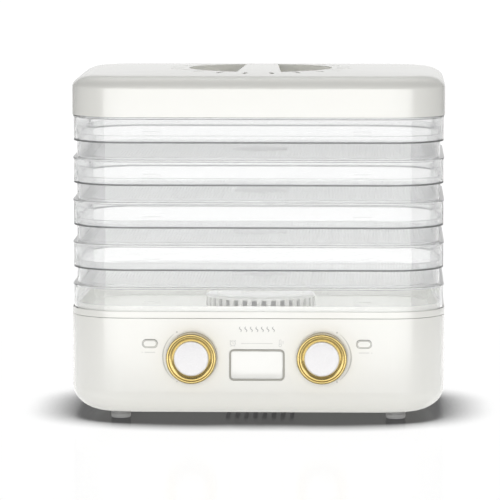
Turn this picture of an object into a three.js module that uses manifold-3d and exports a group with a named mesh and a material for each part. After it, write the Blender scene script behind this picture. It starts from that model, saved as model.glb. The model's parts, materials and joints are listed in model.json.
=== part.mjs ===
// Countertop food dehydrator. A base with a fan, a ring heater and the controls stands on four
// feet. Five clear trays stack on the base, and a vented lid with a hand grip closes the top. Each
// tray is a frame with a mesh floor that drops into it.
// Millimetres, +Z up. The front panel faces -Y. The origin is under the middle of the bounding
// box, on the surface that the feet stand on.
import * as THREE from "three";
import { mergeVertices } from "three/addons/utils/BufferGeometryUtils.js";
import Module from "manifold-3d";

const wasm = await Module();
wasm.setup();

// ---- Driving dimensions ---------------------------------------------------------------------

const GAP = 0.3; // between two pieces that touch
const SLACK = 0.4; // between the side faces of a piece and the hole that it fits in
const CORNER_STEPS = 6; // straight steps in a quarter of the plan outline
const FINE_STEPS = 24; // straight steps round a large turned piece
const ROUND_STEPS = 16;
const COARSE_STEPS = 10;

// Plan outline of the base and the lid. The trays are set in from it.
const BODY_WIDTH = 300;
const BODY_DEPTH = 215;
const CORNER_RADIUS = 45;

// Base housing.
const FOOT_HEIGHT = 6.5;
const FOOT_RADIUS = 8;
const FOOT_INSET = 39; // from the side and from the front of the base to the foot's centre
const FOOT_STEM_RADIUS = 3;
const HOUSING_HEIGHT = 78.2;
const HOUSING_WALL = 2.6;
const HOUSING_FLOOR = 3;
const BOTTOM_ROUND_WIDTH = 26; // the bottom edge is a quarter of an ellipse
const BOTTOM_ROUND_HEIGHT = 20;
const INTAKE_SLOTS = 8;
const INTAKE_SLOT_WIDTH = 3.6;
const INTAKE_SLOT_LENGTH = 64;
const INTAKE_PITCH = 7.5;

// Deck: the cover of the base that the trays stand on.
const DECK_RIM_HEIGHT = 5.3;
const SEAT_DROP = 2; // from the rim's top down to the seat of the lowest tray
const DECK_COLLAR_WALL = 2; // stands inside the lowest tray's skirt as a tray's neck does
const DECK_SINK = 8.5; // from the rim's top down to the deck's floor
const DECK_THICKNESS = 2.5;
const OUTLET_RADIUS = 42;
const POST_RADIUS = 4.2;
const POST_X = 112;
const POST_Y = 40;
const SCREW_RADIUS = 1.5;
const SCREW_HEAD_RADIUS = 3.6;
const SCREW_HEAD_HEIGHT = 1.9;
const SCREW_LENGTH = 14;

// Outlet grille over the deck's hole.
const GRILLE_RADIUS = 45;
const GRILLE_HEIGHT = 13;
const GRILLE_WALL = 2.2;
const GRILLE_FLANGE = 2;
const GRILLE_SLOTS = 20;
const GRILLE_SLOT_WIDTH = 3.6;
const GRILLE_SLOT_HEIGHT = 7;

// Trays.
const TRAY_COUNT = 5;
const TRAY_INSET = 1.2; // from the plan outline to the skirt's outside
const TRAY_PITCH = 34;
const TRAY_WALL = 2;
const SKIRT_HEIGHT = 20.6; // from the skirt's foot to the top of the lip and of the ledge
const LIP_HEIGHT = 1.3;
const LIP_REACH = 0.6; // how far the lip stands out of the skirt
const LEDGE_WIDTH = 3.5; // the mesh floor lies on a ledge inside the neck
const LEDGE_THICKNESS = 1.6;
const NECK_INSET = 2.7; // from the skirt's outside to the neck's outside
const NECK_LAP = 6; // how far a neck stands up inside the skirt above
const STOP_LENGTH = 14;
const STOP_HEIGHT = 3;
const STOP_SPREAD = 0.28; // place of a stop along its side, as a share of that side's length
const FLOOR_THICKNESS = 1.6;
const FLOOR_SLOT_COLUMNS = 12;
const FLOOR_SLOT_WIDTH = 3.4;
const FLOOR_RIB = 4.5; // half the plain strip between the two rows of slots
const HUB_RADIUS = 21; // solid disc in the middle of a mesh floor
const FLOOR_BORDER = 7; // plain strip round a mesh floor

// Lid.
const LID_NECK_CLEAR = 2.5; // from the highest neck's top to where the lid's side turns in
const LID_CROWN = 1.6; // the top rises this much from its edge to its middle
const LID_CROWN_WIDTH = 50;
const LID_WALL = 2.5;
const LID_ROUND_WIDTH = 18;
const LID_ROUND_HEIGHT = 10.3;
const GRIP_RADIUS = 58.5; // two half-moon finger wells make a circle
const GRIP_DEPTH = 13.2;
const GRIP_BAR_FRONT = 36; // width of the bar between the wells
const GRIP_BAR_BACK = 25;
const LID_VENTS = 20;
const LID_VENT_WIDTH = 3.2;
const LID_VENT_LENGTH = 12;
const LID_VENT_CLEAR = 4; // from the wells' edge to the vents
const WELL_VENTS = 3; // slots in the floor of each finger well
const WELL_VENT_PITCH = 9;
const WELL_VENT_WIDTH = 3.6;
const WELL_VENT_LENGTH = 46; // of the slot nearest the bar

// Controls on the front panel. Heights are above the surface that the feet stand on.
const KNOB_X = 52;
const KNOB_Z = 54;
const KNOB_RADIUS = 20;
const KNOB_PROTRUSION = 15;
const KNOB_CAP_RADIUS = 12.6;
const KNOB_RECESS_DEPTH = 0.8;
const KNOB_WALL = 2.5;
const KNOB_WEB = 1.8;
const KNOB_WEB_DEPTH = 5.2; // from the knob's front to the back of the web behind its cap
const HUB_TUBE_RADIUS = 5;
const SHAFT_RADIUS = 2.5;
const BUSHING_RADIUS = 4.2;
const ENCODER_SIZE = 13;
const BUTTON_X = 85.5;
const BUTTON_Z = 64.6;
const BUTTON_WIDTH = 12;
const BUTTON_HEIGHT = 6.4;
const BUTTON_PROUD = 1.3;
const BUTTON_TRAVEL = 1;
const BUTTON_FLANGE = 1.5;
const BUTTON_FLANGE_THICKNESS = 1.2;
const DISPLAY_Z = 47.6;
const BEZEL_WIDTH = 44;
const BEZEL_HEIGHT = 24.9;
const BEZEL_BORDER = 1.7;
const BEZEL_RADIUS = 3.6;
const BEZEL_PROUD = 0.4;
const LENS_THICKNESS = 1.2;
const WINDOW_LAP = 2; // the lens laps onto the panel all round the light window

// Boards.
const BOARD_THICKNESS = 1.6;
const BOARD_SETBACK = 10.5; // from the panel's outside to the control board
const CONTROL_BOARD_WIDTH = 204;
const CONTROL_BOARD_BOTTOM = 30;
const CONTROL_BOARD_TOP = 76;
const BOARD_SCREW_X = 97;
const BOARD_SCREW_Z = 36;
const BOARD_SCREW_RADIUS = 1.1;
const POWER_BOARD_X = -81.5;
const POWER_BOARD_Y = 30;
const POWER_BOARD_WIDTH = 47;
const POWER_BOARD_LENGTH = 60;
const POWER_BOARD_LIFT = 4;
const PIN_RADIUS = 1.3;
const PIN_INSET = 4; // from the power board's edges to a pin
const PIN_TIP = 2; // above the board

// Fan, motor, heater and the duct around them, on the vertical axis through the outlet.
const DUCT_RADIUS = 52;
const DUCT_WALL = 2;
const DUCT_BOTTOM = 30;
const DUCT_LEGS = 3;
const DUCT_LEG_WIDTH = 12;
const BRACKET_SPAN = 68; // between the outsides of the two legs
const BRACKET_WIDTH = 22;
const BRACKET_SHEET = 1.6;
const BRACKET_FLANGE = 11;
const BRACKET_HEIGHT = 12;
const MOTOR_RADIUS = 19;
const MOTOR_HEIGHT = 21;
const MOTOR_SCREW_X = 11;
const MOTOR_SCREW_RADIUS = 1.2;
const MOTOR_SCREW_HEAD = 1.6;
const MOTOR_SHAFT_RADIUS = 1.6;
const FAN_LIFT = 3; // from the motor's top to the hub
const FAN_HUB_RADIUS = 12;
const FAN_HUB_HEIGHT = 11;
const FAN_RADIUS = 46.5;
const FAN_BLADES = 6;
const FAN_CHORD = 22;
const FAN_PITCH = 24; // degrees from flat
const FAN_BLADE = 1.6;
const HEATER_LIFT = 3.5; // from the fan's top to the heater
const HEATER_HEIGHT = 12;
const HEATER_SHEET = 1.2;
const COIL_RADII = [23, 36];
const COIL_THICKNESS = 4.2;

// Cord gland in the back wall.
const GLAND_X = -85;
const GLAND_Z = 34;
const GLAND_BORE_RADIUS = 3.8;
const GLAND_BARREL_RADIUS = 6;
const GLAND_FLANGE_RADIUS = 8.5;
const GLAND_FLANGE = 2.5;

// ---- Derived places -------------------------------------------------------------------------

const HALF_WIDTH = BODY_WIDTH / 2;
const HALF_DEPTH = BODY_DEPTH / 2;
const PANEL_Y = -HALF_DEPTH;
const HOUSING_FLOOR_Z = FOOT_HEIGHT + HOUSING_FLOOR; // inside of the housing's floor
const HOUSING_TOP_Z = FOOT_HEIGHT + HOUSING_HEIGHT;
const RIM_BOTTOM_Z = HOUSING_TOP_Z + GAP;
const RIM_TOP_Z = RIM_BOTTOM_Z + DECK_RIM_HEIGHT;
const DECK_FLOOR_Z = RIM_TOP_Z - DECK_SINK;
const DECK_UNDER_Z = DECK_FLOOR_Z - DECK_THICKNESS;
const POST_FOOT_Z = HOUSING_FLOOR_Z + 3.5;
const SEAT_Z = RIM_TOP_Z - SEAT_DROP;
const LOWEST_TRAY_Z = SEAT_Z + GAP;
const NECK_HEIGHT = TRAY_PITCH - SKIRT_HEIGHT + NECK_LAP; // above the tray's lip
const HIGHEST_TRAY_Z = LOWEST_TRAY_Z + (TRAY_COUNT - 1) * TRAY_PITCH;
const LID_Z = HIGHEST_TRAY_Z + SKIRT_HEIGHT + GAP;
const LID_SIDE_HEIGHT = NECK_HEIGHT + LID_NECK_CLEAR;
const LID_HEIGHT = LID_SIDE_HEIGHT + LID_ROUND_HEIGHT + LID_CROWN;
const MOTOR_Z = HOUSING_FLOOR_Z + BRACKET_HEIGHT + 2 * GAP;
const FAN_Z = MOTOR_Z + MOTOR_HEIGHT + FAN_LIFT;
const HEATER_Z = FAN_Z + FAN_HUB_HEIGHT + HEATER_LIFT;

const KNOB_WEB_Y = KNOB_PROTRUSION - KNOB_WEB_DEPTH; // from the panel to the web's back
const PIN_X = POWER_BOARD_WIDTH / 2 - PIN_INSET;
const PIN_Y = POWER_BOARD_LENGTH / 2 - PIN_INSET;

// ---- Materials ------------------------------------------------------------------------------

const material = (color, roughness, metalness = 0, extra = {}) =>
  new THREE.MeshStandardMaterial({ color, roughness, metalness, ...extra });
const CREAM = material(0xf6f3ea, 0.35);
const CLEAR = material(0xf2f5f6, 0.08, 0, { transparent: true, opacity: 0.35 });
const GOLD = material(0xd9bf6a, 0.2, 1);
const PEARL = material(0xeeecec, 0.3);
const GREY_TRIM = material(0xa9a99f, 0.45);
const LENS = material(0xf7f6f0, 0.1);
const RUBBER = material(0xa8a8a6, 0.8);
const STEEL = material(0xb9bcc0, 0.35, 1);
const BOARD_GREEN = material(0x1f5b3a, 0.5);
const BLACK_PLASTIC = material(0x202022, 0.5);
const WHITE_PLASTIC = material(0xe9e9e6, 0.5);
const MICA = material(0xb9a98c, 0.7);
const NICHROME = material(0x8d8a86, 0.4, 1);

// ---- Solids ---------------------------------------------------------------------------------

// A closed geometry as a solid that can be joined and cut.
function solidOf(geometry) {
  const bare = new THREE.BufferGeometry();
  bare.setAttribute("position", geometry.getAttribute("position").clone());
  bare.setIndex(geometry.index);
  const merged = mergeVertices(bare, 1e-4);
  const corners = merged.index.array;
  const kept = [];
  for (let i = 0; i < corners.length; i += 3) {
    const [a, b, c] = corners.subarray(i, i + 3);
    if (a !== b && b !== c && a !== c) kept.push(a, b, c);
  }
  const vertProperties = merged.attributes.position.array;
  return new wasm.Manifold(new wasm.Mesh({ numProp: 3, vertProperties, triVerts: new Uint32Array(kept) }));
}

// A solid's faces as a geometry.
function geometryOf(solid) {
  const mesh = solid.getMesh();
  const geometry = new THREE.BufferGeometry();
  geometry.setAttribute("position", new THREE.BufferAttribute(mesh.vertProperties, 3));
  geometry.setIndex(new THREE.BufferAttribute(mesh.triVerts, 1));
  geometry.computeVertexNormals();
  return geometry;
}

const joined = (...solids) => solids.flat().reduce((all, next) => all.add(next));
const cut = (solid, ...tools) => tools.flat().reduce((left, tool) => left.subtract(tool), solid);

// Points of the shared plan outline, moved inwards by `inset`, anticlockwise from above.
function outline(inset) {
  const radius = Math.max(CORNER_RADIUS - inset, 2);
  const x = HALF_WIDTH - inset - radius;
  const y = HALF_DEPTH - inset - radius;
  const centres = [[x, -y], [x, y], [-x, y], [-x, -y]];
  return centres.flatMap(([cx, cy], quarter) =>
    Array.from({ length: CORNER_STEPS + 1 }, (_, i) => {
      const angle = (Math.PI / 2) * (quarter - 1 + i / CORNER_STEPS);
      return [cx + radius * Math.cos(angle), cy + radius * Math.sin(angle)];
    }),
  );
}

// A closed block through outlines given from the bottom up as [inset, z].
function stack(sections) {
  const rings = sections.map(([inset, z]) => outline(inset).map(([x, y]) => [x, y, z]));
  const count = rings[0].length;
  const top = (rings.length - 1) * count;
  const index = [];
  for (let ring = 0; ring < top; ring += count)
    for (let i = 0; i < count; i++) {
      const a = ring + i;
      const b = ring + ((i + 1) % count);
      index.push(a, b, b + count, a, b + count, a + count);
    }
  for (let i = 1; i < count - 1; i++) index.push(0, i + 1, i, top, top + i, top + i + 1);
  const geometry = new THREE.BufferGeometry();
  geometry.setAttribute("position", new THREE.Float32BufferAttribute(rings.flat(2), 3));
  geometry.setIndex(index);
  return solidOf(geometry);
}

// A turned solid. The profile is [radius, height] points, anticlockwise, and the axis is Y.
function turned(profile, steps = ROUND_STEPS, upright = false) {
  const geometry = new THREE.LatheGeometry(profile.map(([r, h]) => new THREE.Vector2(r, h)), steps);
  return solidOf(upright ? geometry.rotateX(Math.PI / 2) : geometry);
}

const rodProfile = (radius, from, to) => [[0, from], [radius, from], [radius, to], [0, to]];
const pipeProfile = (outer, inner, from, to) =>
  [[inner, from], [outer, from], [outer, to], [inner, to], [inner, from]];
const uprightRod = (radius, from, to, steps) => turned(rodProfile(radius, from, to), steps, true);
const uprightPipe = (outer, inner, from, to, steps) =>
  turned(pipeProfile(outer, inner, from, to), steps, true);
const levelRod = (radius, from, to, steps) => turned(rodProfile(radius, from, to), steps);

const moved = (solid, x, y, z) => solidOf(geometryOf(solid).translate(x, y, z));
const around = (solid, angle) => solidOf(geometryOf(solid).rotateZ(angle));
const ring = (solid, count, start = 0) =>
  Array.from({ length: count }, (_, i) => around(solid, start + (2 * Math.PI * i) / count));

// A box between two corners.
function box([x0, y0, z0], [x1, y1, z1]) {
  const geometry = new THREE.BoxGeometry(x1 - x0, y1 - y0, z1 - z0);
  return solidOf(geometry.translate((x0 + x1) / 2, (y0 + y1) / 2, (z0 + z1) / 2));
}

function roundedRectangle(width, height, radius) {
  const x = width / 2;
  const y = height / 2;
  const shape = new THREE.Shape();
  shape.absarc(x - radius, y - radius, radius, 0, Math.PI / 2);
  shape.absarc(radius - x, y - radius, radius, Math.PI / 2, Math.PI);
  shape.absarc(radius - x, radius - y, radius, Math.PI, 1.5 * Math.PI);
  shape.absarc(x - radius, radius - y, radius, 1.5 * Math.PI, 2 * Math.PI);
  return shape;
}

const extruded = (shape, depth) =>
  new THREE.ExtrudeGeometry(shape, { depth, bevelEnabled: false, curveSegments: 2 });

// A flat shape, drawn as seen from the front, extruded from y = from back to y = to.
const panelPrism = (shape, from, to) =>
  solidOf(extruded(shape, to - from).rotateX(Math.PI / 2).translate(0, to, 0));

// A flat shape, drawn as seen from above, extruded from z = from up to z = to.
const platePrism = (shape, from, to) => solidOf(extruded(shape, to - from).translate(0, 0, from));

// Sections of a quarter-ellipse edge. `turn` runs from 0, level, to 1, upright.
function quarterRound(steps, at) {
  return Array.from({ length: steps + 1 }, (_, i) => at((Math.PI / 2) * (i / steps)));
}

// ---- Scene ----------------------------------------------------------------------------------

const dehydrator = new THREE.Group();
const assembly = new THREE.Group(); // holds the housing's middle at x = 0, y = 0
assembly.position.y = (KNOB_PROTRUSION - GLAND_FLANGE) / 2;
dehydrator.add(assembly);

function add(name, solid, finish, place = [0, 0, 0], parent = assembly) {
  const mesh = new THREE.Mesh(geometryOf(solid), finish);
  mesh.name = name;
  mesh.position.set(...place);
  parent.add(mesh);
  return mesh;
}

const SIDES = [["left", -1], ["right", 1]];
const CORNERS = [
  ["front_left", -1, -1], ["front_right", 1, -1],
  ["back_left", -1, 1], ["back_right", 1, 1],
];

// ---- Base housing ---------------------------------------------------------------------------

const FOOT_X = HALF_WIDTH - FOOT_INSET;
const FOOT_Y = HALF_DEPTH - FOOT_INSET;
const BUSHING_HOLE = BUSHING_RADIUS + SLACK;
const PANEL_BACK = HOUSING_WALL + GAP; // first free depth behind the panel
const MODULE_WIDTH = BEZEL_WIDTH - 2 * BEZEL_BORDER - 2 * WINDOW_LAP;
const MODULE_HEIGHT = BEZEL_HEIGHT - 2 * BEZEL_BORDER - 2 * WINDOW_LAP;

const pill = (grow) =>
  roundedRectangle(BUTTON_WIDTH + 2 * grow, BUTTON_HEIGHT + 2 * grow, BUTTON_HEIGHT / 2 + grow - 0.01);

function housingShell() {
  const outside = quarterRound(5, (t) => [
    BOTTOM_ROUND_WIDTH * (1 - Math.sin(t)),
    FOOT_HEIGHT + BOTTOM_ROUND_HEIGHT * (1 - Math.cos(t)),
  ]);
  const inside = quarterRound(3, (t) => [
    HOUSING_WALL + BOTTOM_ROUND_WIDTH * (1 - Math.sin(t)),
    HOUSING_FLOOR_Z + (BOTTOM_ROUND_HEIGHT - HOUSING_FLOOR) * (1 - Math.cos(t)),
  ]);
  return cut(stack([...outside, [0, HOUSING_TOP_Z]]), stack([...inside, [HOUSING_WALL, HOUSING_TOP_Z + 1]]));
}

// Openings in the front wall, and the posts behind it that hold the control board.
function panelCuts() {
  const knobs = SIDES.flatMap(([, side]) => [
    moved(levelRod(BUSHING_HOLE, -1, HOUSING_WALL + 1), side * KNOB_X, PANEL_Y, KNOB_Z),
    moved(levelRod(KNOB_RADIUS + 1, -1, KNOB_RECESS_DEPTH, FINE_STEPS), side * KNOB_X, PANEL_Y, KNOB_Z),
    moved(panelPrism(pill(SLACK), -1, HOUSING_WALL + 1), side * BUTTON_X, PANEL_Y, BUTTON_Z),
  ]);
  const seat = roundedRectangle(BEZEL_WIDTH + 2 * GAP, BEZEL_HEIGHT + 2 * GAP, BEZEL_RADIUS + GAP);
  const light = roundedRectangle(MODULE_WIDTH, MODULE_HEIGHT, 1);
  return [
    ...knobs,
    moved(panelPrism(seat, -1, LENS_THICKNESS + GAP), 0, PANEL_Y, DISPLAY_Z),
    moved(panelPrism(light, -1, HOUSING_WALL + 1), 0, PANEL_Y, DISPLAY_Z),
  ];
}

function boardPosts() {
  return SIDES.map(([, side]) => {
    const post = cut(
      levelRod(3, HOUSING_WALL - 0.5, BOARD_SETBACK - GAP, COARSE_STEPS),
      levelRod(BOARD_SCREW_RADIUS + GAP, HOUSING_WALL + 1, BOARD_SETBACK, COARSE_STEPS),
    );
    return moved(post, side * BOARD_SCREW_X, PANEL_Y, BOARD_SCREW_Z);
  });
}

// Pins on the floor that the power board snaps onto.
function boardPins() {
  const ledge = HOUSING_FLOOR_Z + POWER_BOARD_LIFT;
  const pin = joined(
    uprightRod(PIN_RADIUS + 1.5, HOUSING_FLOOR_Z - 1, ledge, COARSE_STEPS),
    uprightRod(PIN_RADIUS, HOUSING_FLOOR_Z, ledge + BOARD_THICKNESS + PIN_TIP, COARSE_STEPS),
  );
  return CORNERS.map(([, sx, sy]) =>
    moved(pin, POWER_BOARD_X + sx * PIN_X, POWER_BOARD_Y + sy * PIN_Y, 0),
  );
}

function housing() {
  const boss = uprightRod(POST_RADIUS + 1, HOUSING_FLOOR_Z - 1, POST_FOOT_Z - GAP, COARSE_STEPS);
  const headSeat = FOOT_HEIGHT + SCREW_HEAD_HEIGHT + 2 * GAP;
  const screwHole = joined(
    uprightRod(SCREW_RADIUS + SLACK, FOOT_HEIGHT - 1, POST_FOOT_Z + 1, COARSE_STEPS),
    uprightRod(SCREW_HEAD_RADIUS + SLACK, FOOT_HEIGHT - 1, headSeat, COARSE_STEPS),
  );
  const stemHole = uprightRod(FOOT_STEM_RADIUS + SLACK, FOOT_HEIGHT - 1, HOUSING_FLOOR_Z + 1, COARSE_STEPS);
  const bosses = CORNERS.map(([, sx, sy]) => moved(boss, sx * POST_X, sy * POST_Y, 0));
  const screwHoles = CORNERS.map(([, sx, sy]) => moved(screwHole, sx * POST_X, sy * POST_Y, 0));
  const stemHoles = CORNERS.map(([, sx, sy]) => moved(stemHole, sx * FOOT_X, sy * FOOT_Y, 0));
  const intake = Array.from({ length: INTAKE_SLOTS }, (_, i) => {
    const x = (i - (INTAKE_SLOTS - 1) / 2) * INTAKE_PITCH;
    const slot = roundedRectangle(INTAKE_SLOT_WIDTH, INTAKE_SLOT_LENGTH, INTAKE_SLOT_WIDTH / 2 - 0.01);
    return moved(platePrism(slot, FOOT_HEIGHT - 1, HOUSING_FLOOR_Z + 1), x, 0, 0);
  });
  const glandHole = moved(
    levelRod(GLAND_BARREL_RADIUS + SLACK, HALF_DEPTH - HOUSING_WALL - 1, HALF_DEPTH + 1),
    GLAND_X, 0, GLAND_Z,
  );
  return cut(
    joined(housingShell(), bosses, boardPosts(), boardPins()),
    screwHoles, stemHoles, intake, glandHole, panelCuts(),
  );
}

add("base_housing", housing(), CREAM);

const stemTop = HOUSING_FLOOR_Z + 0.5;
const foot = turned(
  [
    [0, 0], [FOOT_RADIUS - 1.2, 0], [FOOT_RADIUS, 1.2], [FOOT_RADIUS, FOOT_HEIGHT - GAP],
    [FOOT_STEM_RADIUS, FOOT_HEIGHT - GAP], [FOOT_STEM_RADIUS, stemTop], [0, stemTop],
  ],
  ROUND_STEPS,
  true,
);
CORNERS.forEach(([where, sx, sy]) => add(`foot_${where}`, foot, RUBBER, [sx * FOOT_X, sy * FOOT_Y, 0]));

// ---- Deck, its screws and the outlet grille -------------------------------------------------

function deck() {
  const spigot = HOUSING_WALL + SLACK;
  const lip = TRAY_INSET - SLACK;
  const collar = TRAY_INSET + NECK_INSET; // the skirt passes outside it as it does outside a neck
  const collarTop = SEAT_Z + NECK_LAP;
  const block = stack([
    [spigot, DECK_UNDER_Z], [spigot, RIM_BOTTOM_Z], [0, RIM_BOTTOM_Z], [0, RIM_TOP_Z],
    [lip, RIM_TOP_Z], [lip, SEAT_Z], [collar, SEAT_Z], [collar, collarTop],
  ]);
  const basin = stack([
    [collar + DECK_COLLAR_WALL + 3, DECK_FLOOR_Z], [collar + DECK_COLLAR_WALL, RIM_TOP_Z - 2],
    [collar + DECK_COLLAR_WALL, collarTop + 1],
  ]);
  const post = uprightRod(POST_RADIUS, POST_FOOT_Z, DECK_FLOOR_Z - 1, COARSE_STEPS);
  const pilot = uprightRod(SCREW_RADIUS + GAP, POST_FOOT_Z - 1, FOOT_HEIGHT + SCREW_LENGTH + 3, COARSE_STEPS);
  const posts = CORNERS.map(([, sx, sy]) => moved(post, sx * POST_X, sy * POST_Y, 0));
  const pilots = CORNERS.map(([, sx, sy]) => moved(pilot, sx * POST_X, sy * POST_Y, 0));
  const outlet = uprightRod(OUTLET_RADIUS, DECK_UNDER_Z - 1, DECK_FLOOR_Z + 1, FINE_STEPS);
  return cut(joined(cut(block, basin), posts), pilots, outlet);
}

add("base_deck", deck(), CREAM);

// A pan-head screw with its head down and its shank up.
function screw(radius, headRadius, headHeight, length) {
  const head = [[0, 0], [headRadius, 0], [headRadius, headHeight]];
  const shank = [[radius, headHeight], [radius, length], [0, length]];
  return turned([...head, ...shank], COARSE_STEPS, true);
}

const deckScrew = screw(SCREW_RADIUS, SCREW_HEAD_RADIUS, SCREW_HEAD_HEIGHT, SCREW_LENGTH);
CORNERS.forEach(([where, sx, sy]) =>
  add(`deck_screw_${where}`, deckScrew, STEEL, [sx * POST_X, sy * POST_Y, FOOT_HEIGHT + GAP]),
);

function outletGrille() {
  const spigot = OUTLET_RADIUS - 2 * SLACK;
  const inner = GRILLE_RADIUS - GRILLE_WALL;
  const cap = turned(
    [
      [0, GRILLE_HEIGHT - 2], [inner, GRILLE_HEIGHT - 2], [inner, GRILLE_FLANGE], [spigot - 2, GRILLE_FLANGE],
      [spigot - 2, -DECK_THICKNESS], [spigot, -DECK_THICKNESS], [spigot, GAP], [GRILLE_RADIUS + 2, GAP],
      [GRILLE_RADIUS + 2, GRILLE_FLANGE], [GRILLE_RADIUS, GRILLE_FLANGE],
      [GRILLE_RADIUS, GRILLE_HEIGHT - 1.5], [GRILLE_RADIUS - 1.5, GRILLE_HEIGHT], [0, GRILLE_HEIGHT],
    ],
    GRILLE_SLOTS,
    true,
  );
  const low = GRILLE_FLANGE + 0.8;
  const slot = box(
    [inner - 2, -GRILLE_SLOT_WIDTH / 2, low],
    [GRILLE_RADIUS + 1, GRILLE_SLOT_WIDTH / 2, low + GRILLE_SLOT_HEIGHT],
  );
  return cut(cap, ring(slot, GRILLE_SLOTS, Math.PI / GRILLE_SLOTS));
}

add("outlet_grille", outletGrille(), CREAM, [0, 0, DECK_FLOOR_Z]);

// ---- Air duct, motor, fan and heater --------------------------------------------------------

function airDuct() {
  const inner = DUCT_RADIUS - DUCT_WALL;
  const wall = uprightPipe(DUCT_RADIUS, inner, DUCT_BOTTOM, DECK_UNDER_Z - GAP, FINE_STEPS);
  const leg = box(
    [inner + 0.2, -DUCT_LEG_WIDTH / 2, HOUSING_FLOOR_Z + GAP],
    [DUCT_RADIUS - 0.4, DUCT_LEG_WIDTH / 2, DUCT_BOTTOM + 4],
  );
  const ledge = box([inner - 4, -3, HEATER_Z - 2.3], [inner + 1, 3, HEATER_Z - GAP]);
  return joined(wall, ring(leg, DUCT_LEGS, Math.PI / 2), ring(ledge, 4));
}

// A strap over the intake slots: two legs with feet, and a plate for the motor.
function motorBracket() {
  const x = BRACKET_SPAN / 2;
  const y = BRACKET_WIDTH / 2;
  const low = HOUSING_FLOOR_Z + GAP;
  const top = low + BRACKET_HEIGHT;
  const legs = SIDES.flatMap(([, side]) => {
    const [near, far] = [side * x, side * (x - BRACKET_SHEET)].sort((a, b) => a - b);
    const [heel, toe] = [side * (x - BRACKET_SHEET), side * (x + BRACKET_FLANGE)].sort((a, b) => a - b);
    return [box([near, -y, low], [far, y, top]), box([heel, -y, low], [toe, y, low + BRACKET_SHEET])];
  });
  const plate = box([-x, -y, top - BRACKET_SHEET], [x, y, top]);
  const hole = uprightRod(MOTOR_SCREW_RADIUS + SLACK, top - 4, top + 1, COARSE_STEPS);
  const holes = SIDES.map(([, side]) => moved(hole, side * MOTOR_SCREW_X, 0, 0));
  return cut(joined(plate, legs), holes, uprightRod(4, top - 4, top + 1, COARSE_STEPS));
}

function motor() {
  const can = turned(
    [
      [0, 0], [MOTOR_RADIUS, 0], [MOTOR_RADIUS, MOTOR_HEIGHT - 2], [MOTOR_RADIUS - 2, MOTOR_HEIGHT - 1],
      [5, MOTOR_HEIGHT - 1], [5, MOTOR_HEIGHT], [0, MOTOR_HEIGHT],
    ],
    ROUND_STEPS,
    true,
  );
  const pilot = uprightRod(MOTOR_SCREW_RADIUS + GAP, -1, 5, COARSE_STEPS);
  const pilots = SIDES.map(([, side]) => moved(pilot, side * MOTOR_SCREW_X, 0, 0));
  return cut(can, pilots, uprightRod(MOTOR_SHAFT_RADIUS + GAP, -1, MOTOR_HEIGHT + 1, COARSE_STEPS));
}

// Blades stand out from a hub, each a flat plate turned about its own length.
function impeller() {
  const bore = MOTOR_SHAFT_RADIUS + GAP;
  const hub = turned(
    [
      [bore, 0], [FAN_HUB_RADIUS, 0], [FAN_HUB_RADIUS, FAN_HUB_HEIGHT - 2],
      [FAN_HUB_RADIUS - 2, FAN_HUB_HEIGHT], [bore, FAN_HUB_HEIGHT], [bore, 0],
    ],
    ROUND_STEPS,
    true,
  );
  const length = FAN_RADIUS - FAN_HUB_RADIUS + 2;
  const blade = solidOf(
    new THREE.BoxGeometry(length, FAN_CHORD, FAN_BLADE)
      .rotateX((-FAN_PITCH * Math.PI) / 180)
      .translate(FAN_RADIUS - length / 2, 0, FAN_HUB_HEIGHT / 2),
  );
  return cut(joined(hub, ring(blade, FAN_BLADES)), uprightRod(bore, -9, FAN_HUB_HEIGHT + 9, COARSE_STEPS));
}

// Two crossed sheets that carry the wire rings in round holes.
function heaterFrame() {
  const reach = DUCT_RADIUS - DUCT_WALL - SLACK;
  const sheet = box([-reach, -HEATER_SHEET / 2, 0], [reach, HEATER_SHEET / 2, HEATER_HEIGHT]);
  const passages = COIL_RADII.map((radius) => heaterCoil(radius, COIL_THICKNESS / 2 + SLACK));
  return cut(joined(sheet, around(sheet, Math.PI / 2)), passages);
}

function heaterCoil(radius, thickness = COIL_THICKNESS / 2) {
  const geometry = new THREE.TorusGeometry(radius, thickness, 6, FINE_STEPS);
  return solidOf(geometry.translate(0, 0, HEATER_HEIGHT / 2));
}

add("air_duct", airDuct(), WHITE_PLASTIC);
add("motor_bracket", motorBracket(), STEEL);
add("fan_motor", motor(), STEEL, [0, 0, MOTOR_Z]);
const shaftLength = MOTOR_HEIGHT + FAN_LIFT + FAN_HUB_HEIGHT - 1;
add("motor_shaft", uprightRod(MOTOR_SHAFT_RADIUS, 0, shaftLength, COARSE_STEPS), STEEL, [0, 0, MOTOR_Z]);
add("fan_impeller", impeller(), BLACK_PLASTIC, [0, 0, FAN_Z]);
add("impeller_cap", uprightRod(5, 0, 1.8, COARSE_STEPS), STEEL, [0, 0, FAN_Z + FAN_HUB_HEIGHT + GAP]);
const motorScrew = screw(MOTOR_SCREW_RADIUS, 2.6, MOTOR_SCREW_HEAD, 6.5);
const motorScrewZ = MOTOR_Z - BRACKET_SHEET - MOTOR_SCREW_HEAD - 2 * GAP;
SIDES.forEach(([where, side]) =>
  add(`motor_screw_${where}`, motorScrew, STEEL, [side * MOTOR_SCREW_X, 0, motorScrewZ]),
);
add("heater_frame", heaterFrame(), MICA, [0, 0, HEATER_Z]);
COIL_RADII.forEach((radius, i) =>
  add(["heater_coil_inner", "heater_coil_outer"][i], heaterCoil(radius), NICHROME, [0, 0, HEATER_Z]),
);

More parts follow.
